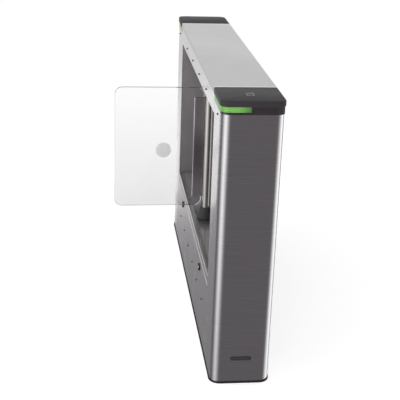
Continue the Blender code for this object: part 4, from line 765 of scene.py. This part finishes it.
def locks():
    """Fine turned faces in place of the lock bodies."""
    for label in ("front", "rear"):
        low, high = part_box(label + "_lock_body")
        centre, face = lock_place(label)
        radius = (high.z - low.z) / 2
        depth = SKIN_X - high.x
        profile = [(BEZEL_BORE, depth)]
        profile += [(across, face + along) for across, along in BEZEL_GROOVE]
        profile += [(radius - inward, face + along) for inward, along in BEZEL_RIM]
        profile += [(radius, FIT), (BARREL_RADIUS, FIT), (BARREL_RADIUS, depth)]
        bm = bmesh.new()
        turn(bm, profile, centre, (-1, 0, 0), FINE_TURN, loop=True)
        made = piece(label + "_lock_bezel", bm, "foot_black", "service_door")
        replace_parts(made, label + "_lock_body")


def lock_plugs():
    """Light turning plugs with a keyway, a little proud of the dark bezels."""
    for label in ("front", "rear"):
        centre, face = lock_place(label)
        top = face + PLUG_PROUD
        floor = face - KEYWAY_DEPTH
        bm = bmesh.new()
        plug = [(KEY_RADIUS, 0.0), (KEY_RADIUS, top - KEY_EDGE), (KEY_RADIUS - KEY_EDGE, top),
                (KEYWAY_SIZE, top)]
        keyway = [(KEYWAY_SIZE, top), (KEYWAY_SIZE * KEYWAY_TAPER, floor), (0, floor)]
        turn(bm, plug, centre, (-1, 0, 0), SMALL_TURN)
        turn(bm, keyway, centre, (-1, 0, 0), SMALL_TURN)
        piece(label + "_lock_key_face", bm, "plug_steel", label + "_door_lock")


def clamp_plates():
    """Square-ended clamp plates with bright chamfers in place of the plain ones."""
    for label, side in (("front", -1), ("rear", 1)):
        low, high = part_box(label + "_clamp_plate")
        bm = bmesh.new()
        bmesh.ops.create_cube(bm, size=1)
        bmesh.ops.scale(bm, vec=high - low, verts=bm.verts)
        bmesh.ops.translate(bm, vec=(low + high) / 2, verts=bm.verts)
        outer = low.y if side < 0 else high.y
        rim = [edge for edge in bm.edges if all(abs(vertex.co.y - outer) < WELD for vertex in edge.verts)]
        bmesh.ops.bevel(bm, geom=rim, offset=CLAMP_CHAMFER, segments=1, affect="EDGES")
        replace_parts(piece(label + "_clamp_bar", bm, "clamp_steel", "wing"), label + "_clamp_plate")


def clamp_screws():
    """Button heads with hexagon sockets in place of the plain screws."""
    for label in ("lower", "middle", "upper"):
        low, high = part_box(label + "_clamp_screw")
        centre = (low + high) / 2
        reach = (high.y - low.y) / 2
        floor = reach - BOLT_SOCKET_DEPTH
        seat = reach - BOLT_HEAD_HEIGHT
        profile = [(BOLT_SHANK, 0.0), (BOLT_SHANK, seat), (BOLT_HEAD, seat)]
        profile += [(BOLT_HEAD * share, reach - below) for share, below in BOLT_CROWN]
        profile.append((BOLT_SOCKET, reach))
        bm = bmesh.new()
        for side in (-1, 1):
            turn(bm, profile, centre, (0, side, 0), SMALL_TURN)
            turn(bm, [(0, floor), (BOLT_SOCKET, floor)], centre, (0, side, 0), SOCKET_SIDES)
            turn(bm, [(BOLT_SOCKET, floor), (BOLT_SOCKET, reach)], centre, (0, side, 0), SOCKET_SIDES)
        made = piece(label + "_clamp_bolt", bm, "bolt_steel", "wing")
        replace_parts(made, label + "_clamp_screw")


def terminal_row(name, node, count, pitch, level, paint):
    """Plug-in terminal blocks with screw wells and wire mouths along the lane side of a case."""
    low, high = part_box(node)
    bm = bmesh.new()
    first = (low.y + high.y) / 2 - pitch * (count - 1) / 2
    size = Vector((TERMINAL_DEPTH, pitch * TERMINAL_WIDTH_SHARE, TERMINAL_HEIGHT))
    for index in range(count):
        middle = Vector((low.x - TERMINAL_DEPTH / 2 + TERMINAL_SINK, first + pitch * index, level))
        block = bmesh.ops.create_cube(bm, size=1.0)["verts"]
        for vertex in block:
            vertex.co = middle + vertex.co * size
        bm.normal_update()
        sides = {face for vertex in block for face in vertex.link_faces}
        for face in [face for face in sides if face.normal.x < -0.5 or face.normal.z > 0.5]:
            inward = -face.normal * TERMINAL_WELL
            bmesh.ops.inset_individual(bm, faces=[face], thickness=pitch * TERMINAL_RIM_SHARE)
            bmesh.ops.translate(bm, verts=list(face.verts), vec=inward)
    piece(name, bm, paint, "cabinet")


def flange_screws():
    """Socket head screws round the flange of the lower bearing housing."""
    bm = bmesh.new()
    middle = Vector((SHAFT.x, SHAFT.y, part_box("lower_bearing_housing")[0].z + FLANGE_HEIGHT))
    profile = [(share * FLANGE_SCREW_RADIUS, height) for share, height in FLANGE_SCREW_PROFILE]
    for corner in range(FLANGE_SCREWS):
        angle = 2 * math.pi * (corner + 0.5) / FLANGE_SCREWS
        outward = Vector((math.cos(angle), math.sin(angle), 0))
        turn(bm, profile, middle + outward * FLANGE_CIRCLE, (0, 0, 1), SCREW_TURN)
    piece("flange_screws", bm, "zinc_steel", "cabinet")


def boot():
    """A fine flared boot with its foot lip."""
    low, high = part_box("shaft_boot")
    foot = (high.x - low.x) / 2
    height = high.z - low.z
    flare = height - BOOT_FLARE_LOW - BOOT_ROUND
    profile = [(BOOT_BORE, height), (BOOT_TOP - BOOT_ROUND, height), (BOOT_TOP, height - BOOT_ROUND)]
    for step in range(1, BOOT_STEPS + 1):
        share = step / BOOT_STEPS
        profile.append((BOOT_TOP + (foot - BOOT_TOP) * share ** BOOT_FLARE_POWER,
                        BOOT_FLARE_LOW + flare * (1 - share)))
    profile += [(foot, BOOT_LIP), (foot - BOOT_ROUND, 0.0), (BOOT_BORE, 0.0)]
    bm = bmesh.new()
    turn(bm, profile, (SHAFT.x, SHAFT.y, low.z), (0, 0, 1), BOOT_TURN, loop=True)
    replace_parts(piece("flared_boot", bm, "boot_rubber", "cabinet"), "shaft_boot")


def tube():
    """The smooth tube, with a strip light of its own for the bright line along it."""
    low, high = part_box("wing_tube")
    radius = (high.x - low.x) / 2
    shoulder = radius - TUBE_CHAMFER
    bore = radius - TUBE_WALL
    profile = [(bore, high.z), (shoulder, high.z), (radius, high.z - TUBE_CHAMFER),
               (radius, low.z + TUBE_CHAMFER), (shoulder, low.z), (bore, low.z)]
    bm = bmesh.new()
    turn(bm, profile, (SHAFT.x, SHAFT.y, 0), (0, 0, 1), BOOT_TURN, loop=True)
    made = piece("polished_tube", bm, "polished_steel", "wing")
    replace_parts(made, "wing_tube")
    shine = bpy.data.collections.new("tube_shine")
    shine.objects.link(made)
    aim = Vector((SHAFT.x, SHAFT.y, (low.z + high.z) / 2))
    place = aim + Vector((*TUBE_STRIP_PLACE, 0))
    strip = soft_light("tube_strip", place, aim, TUBE_STRIP_SIZE, TUBE_STRIP_WATTS)
    strip.visible_glossy = True
    strip.light_linking.receiver_collection = shine


def dark_foot_strip():
    """A dark strip round the cabinet's foot, between it and the floor."""
    half_x = -SKIN_X + FOOT_STRIP_PROUD
    half_y = -SKIN_END_Y + FOOT_STRIP_PROUD
    radius = FOOT_STRIP_RADIUS + FOOT_STRIP_PROUD
    outer = pill(half_x, half_y, radius)
    inner = pill(half_x - FOOT_STRIP_WIDTH, half_y - FOOT_STRIP_WIDTH, radius - FOOT_STRIP_WIDTH)
    bm = bmesh.new()
    flat_ring(bm, outer, inner, FOOT_STRIP_HEIGHT, FOOT_STRIP_LOW)
    piece("dark_foot_strip", bm, "foot_black", "cabinet")


def edge_beads():
    """Bright half-round beads along the top edges of the sill rail and the door."""
    for node, body, label in (("sill_rail", "cabinet", "sill"), ("access_door", "service_door", "door")):
        low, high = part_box(node)
        bm = bmesh.new()
        rings = []
        for y in (low.y + BEAD_MARGIN, high.y - BEAD_MARGIN):
            ring = []
            for step in range(SMALL_TURN // 2 + 1):
                angle = math.pi * (step * 2 / SMALL_TURN - 0.5)
                ring.append(bm.verts.new((SKIN_X - BEAD_RADIUS * math.cos(angle), y,
                                          high.z - BEAD_RADIUS + BEAD_RADIUS * math.sin(angle))))
            rings.append(ring)
        prism(bm, *rings)
        piece(label + "_edge_bead", bm, "trim", body)


def lid_trims():
    """Bright raised strips across both ends of the lid."""
    low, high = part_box("top_lid")
    section = [(0.0, -TRIM_SINK), (0.0, TRIM_PROUD), (TRIM_LENGTH * TRIM_FLAT_SHARE, TRIM_PROUD),
               (TRIM_LENGTH, 0.0), (TRIM_LENGTH, -TRIM_SINK)]
    for label, y, side in (("front", low.y, 1), ("rear", high.y, -1)):
        bm = bmesh.new()
        rings = [[bm.verts.new((x, y + side * (along + FIT), high.z + rise)) for along, rise in section]
                 for x in (low.x + TRIM_MARGIN, high.x - TRIM_MARGIN)]
        prism(bm, *rings)
        piece(label + "_lid_trim", bm, "trim", "cabinet")


def flat_ring(bm, outer, inner, height, low):
    """A raised outline between two loops of the same length."""
    rings = []
    for loop, level in ((outer, low), (outer, height), (inner, height), (inner, low)):
        rings.append([bm.verts.new((point[0], point[1], level)) for point in loop])
    for first, second in zip(rings, rings[1:] + rings[:1]):
        bridge(bm, first, second)


def pill(half_x, half_y, radius, steps=8):
    """A rounded rectangle as a loop in the plan."""
    points = []
    for quarter, (side_x, side_y) in enumerate(((1, 1), (-1, 1), (-1, -1), (1, -1))):
        middle = Vector((side_x * (half_x - radius), side_y * (half_y - radius)))
        for step in range(steps + 1):
            angle = math.pi / 2 * (quarter + step / steps)
            points.append(middle + Vector((math.cos(angle), math.sin(angle))) * radius)
    return points


def reader_sign():
    """A plain card outline on top of the front cap, over the reader."""
    bm = bmesh.new()
    outer = pill(ICON_WIDTH / 2, ICON_LENGTH / 2, ICON_ROUND)
    inner = pill(ICON_WIDTH / 2 - ICON_LINE, ICON_LENGTH / 2 - ICON_LINE, ICON_INNER_ROUND)
    flat_ring(bm, outer, inner, ICON_PROUD, 0)
    stripe = pill(ICON_WIDTH / 2 - STRIPE_MARGIN, STRIPE_HALF_WIDTH, STRIPE_ROUND)
    prism(bm, *([bm.verts.new((point.x, point.y + STRIPE_PLACE, level)) for point in stripe]
                for level in (0, ICON_PROUD)))
    bmesh.ops.translate(bm, verts=bm.verts, vec=(0, CAD_BOX[0].y + ICON_SETBACK, CAD_BOX[1].z))
    piece("card_outline", bm, "card_print", "cabinet")


def badge():
    """The bare pill on the front face: a dark field in a raised dark rim."""
    low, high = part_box("badge_plate")
    half_x = (high.x - low.x) / 2
    half_z = (high.z - low.z) / 2
    middle = Vector(((high.x + low.x) / 2, low.y, (high.z + low.z) / 2))
    spin = Matrix.Translation(middle) @ Matrix.Rotation(math.pi / 2, 4, "X")
    bm = bmesh.new()
    outer = pill(half_x, half_z, half_z - WELD)
    inner = pill(half_x - BADGE_RIM, half_z - BADGE_RIM, half_z - BADGE_RIM - WELD)
    flat_ring(bm, outer, inner, BADGE_RIM_PROUD, 0)
    bmesh.ops.transform(bm, matrix=spin, verts=bm.verts)
    piece("badge_rim", bm, "dark_housing", "cabinet")


def glass_dot():
    """A plain frosted dot on both faces, which makes the clear wing easy to see."""
    low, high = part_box("glass_wing")
    bm = bmesh.new()
    for y, side in ((low.y, -1), (high.y, 1)):
        profile = [(0, SKIN_GAP), (DOT_RADIUS, SKIN_GAP), (DOT_RADIUS, DOT_PROUD), (0, DOT_PROUD)]
        turn(bm, profile, (DOT_PLACE[0], y, DOT_PLACE[1]), (0, side, 0), FINE_TURN)
    piece("frosted_dot", bm, "frosted", "wing")


def make_camera():
    """The photograph's camera, with no shift."""
    data = bpy.data.cameras.new("photo_camera")
    data.sensor_width = SENSOR_MM
    data.lens = CAMERA_FOCAL_PIXELS / PICTURE_PIXELS * SENSOR_MM
    camera = bpy.data.objects.new("photo_camera", data)
    bpy.context.scene.collection.objects.link(camera)
    axes = Matrix((Vector(CAMERA_RIGHT), Vector(CAMERA_UP), -Vector(CAMERA_FORWARD)))
    camera.matrix_world = Matrix.Translation(CAMERA_PLACE) @ axes.transposed().to_4x4()
    data.clip_end = CAMERA_REACH
    bpy.context.scene.camera = camera


def soft_light(name, place, aim, size, watts):
    """A soft box that faces a point and isn't seen itself."""
    data = bpy.data.lights.new(name, "AREA")
    data.shape = "RECTANGLE"
    data.size, data.size_y = size
    data.energy = watts
    light = bpy.data.objects.new(name, data)
    bpy.context.scene.collection.objects.link(light)
    light.location = place
    light.rotation_euler = (Vector(aim) - Vector(place)).to_track_quat("-Z", "Y").to_euler()
    light.visible_camera = False
    light.visible_glossy = False
    return light


def ramp_of(nodes, stops):
    """A grey ramp from position and brightness pairs."""
    ramp = nodes.new("ShaderNodeValToRGB")
    elements = ramp.color_ramp.elements
    while len(elements) > 1:
        elements.remove(elements[-1])
    elements[0].position = stops[0][0]
    for position, _ in stops[1:]:
        elements.new(position)
    for element, (_, grey) in zip(elements, stops):
        element.color = (grey, grey, grey, 1)
    return ramp


def math_node(nodes, links, operation, first, second=0.0, third=None):
    """A maths node with numbers or sockets as inputs."""
    node = nodes.new("ShaderNodeMath")
    node.operation = operation
    for socket, value in zip(node.inputs, (first, second, third)):
        if isinstance(value, bpy.types.NodeSocket):
            links.new(value, socket)
        elif value is not None:
            socket.default_value = value
    return node.outputs[0]


def spread_node(nodes, links, value, low, high):
    """0 up to the low value, 1 from the high one."""
    spread = nodes.new("ShaderNodeMapRange")
    links.new(value, spread.inputs["Value"])
    spread.inputs["From Min"].default_value = low
    spread.inputs["From Max"].default_value = high
    return spread


def room_brightness(nodes, links):
    """Brightness of the room by direction: walls to the left, right and rear, and a ceiling."""
    place = nodes.new("ShaderNodeTexCoord")
    split = nodes.new("ShaderNodeSeparateXYZ")
    links.new(place.outputs["Generated"], split.inputs[0])
    x, y, z = (split.outputs[letter] for letter in "XYZ")
    left = math_node(nodes, links, "MULTIPLY", x, -1.0)
    front = math_node(nodes, links, "MULTIPLY", y, -1.0)
    turned = math_node(nodes, links, "ARCTAN2", left, front)
    share = math_node(nodes, links, "MULTIPLY_ADD", turned, 1 / (2 * math.pi), 0.5)
    lifted = math_node(nodes, links, "MULTIPLY_ADD", z, 0.5, 0.5)

    def wall(stops):
        ramp = ramp_of(nodes, [(degrees / 360 + 0.5, grey) for degrees, grey in stops])
        links.new(share, ramp.inputs["Fac"])
        return ramp.outputs["Color"]

    def height(stops):
        ramp = ramp_of(nodes, [((level + 1) / 2, grey) for level, grey in stops])
        links.new(lifted, ramp.inputs["Fac"])
        return ramp.outputs["Color"]

    low = ROOM_BASE
    for turns, heights in ((ROOM_SIDES, ROOM_SIDE_HEIGHT), (ROOM_RIGHT, ROOM_RIGHT_HEIGHT),
                           (ROOM_REAR, ROOM_REAR_HEIGHT), (ROOM_FAR, ROOM_FAR_HEIGHT)):
        low = math_node(nodes, links, "MULTIPLY_ADD", wall(turns), height(heights), low)
    ceiling = math_node(nodes, links, "MULTIPLY", wall(ROOM_CEILING_TURN), height(ROOM_CEILING))
    rise = spread_node(nodes, links, z, *ROOM_HORIZON)
    rise.interpolation_type = "SMOOTHSTEP"
    mix = nodes.new("ShaderNodeMix")
    for name, value in (("Factor", rise.outputs["Result"]), ("A", low), ("B", ceiling)):
        links.new(value, mix.inputs[name])
    return mix.outputs["Result"]


def room_colour(nodes, links, brightness):
    """White where the room is bright, a faint violet in its shade."""
    tint = nodes.new("ShaderNodeMix")
    tint.data_type = "RGBA"
    tone = spread_node(nodes, links, brightness, ROOM_BASE, ROOM_SHADE_END)
    links.new(tone.outputs["Result"], tint.inputs["Factor"])
    tint.inputs["A"].default_value = (*ROOM_SHADE_TINT, 1)
    tint.inputs["B"].default_value = (1, 1, 1, 1)
    return tint.outputs["Result"]


def make_world():
    """Plain white to the camera, and the room to everything that is reflected or lit."""
    world = bpy.data.worlds.new("studio")
    bpy.context.scene.world = world
    world.use_nodes = True
    nodes = world.node_tree.nodes
    links = world.node_tree.links
    nodes.clear()
    brightness = room_brightness(nodes, links)
    room = nodes.new("ShaderNodeBackground")
    links.new(brightness, room.inputs["Strength"])
    links.new(room_colour(nodes, links, brightness), room.inputs["Color"])
    white = nodes.new("ShaderNodeBackground")
    white.inputs["Color"].default_value = (1, 1, 1, 1)
    path = nodes.new("ShaderNodeLightPath")
    choice = nodes.new("ShaderNodeMixShader")
    output = nodes.new("ShaderNodeOutputWorld")
    links.new(path.outputs["Is Camera Ray"], choice.inputs[0])
    links.new(room.outputs[0], choice.inputs[1])
    links.new(white.outputs[0], choice.inputs[2])
    links.new(choice.outputs[0], output.inputs["Surface"])


def make_studio():
    """White floor in the bright room, and soft boxes."""
    bm = bmesh.new()
    bmesh.ops.create_grid(bm, x_segments=1, y_segments=1, size=FLOOR_HALF)
    mesh = bpy.data.meshes.new("studio_floor")
    bm.to_mesh(mesh)
    bm.free()
    floor = bpy.data.objects.new("studio_floor", mesh)
    bpy.context.scene.collection.objects.link(floor)
    floor.location.z = -FLOOR_SINK
    paint = Paint("floor_look")
    cloud = paint.noise(0.8, detail=3.0)
    paint.set(Base_Color=paint.mix(cloud, (0.62, 0.62, 0.62), (0.66, 0.66, 0.66)), Roughness=0.9,
              Emission_Color=(1, 1, 1), Emission_Strength=FLOOR_GLOW, Specular_IOR_Level=0.0)
    mesh.materials.append(paint.material)
    floor.visible_glossy = False
    for name, (place, aim, size, watts) in SOFT_BOXES.items():
        soft_light(name, place, aim, size, watts)
    bpy.context.scene.view_settings.view_transform = "Standard"


make_camera()
make_world()
make_studio()
dress_all()
light_strips()
lenses()
locks()
lock_plugs()
clamp_plates()
for row in TERMINAL_ROWS:
    terminal_row(*row)
flange_screws()
clamp_screws()
boot()
tube()
dark_foot_strip()
edge_beads()
lid_trims()
reader_sign()
badge()
glass_dot()
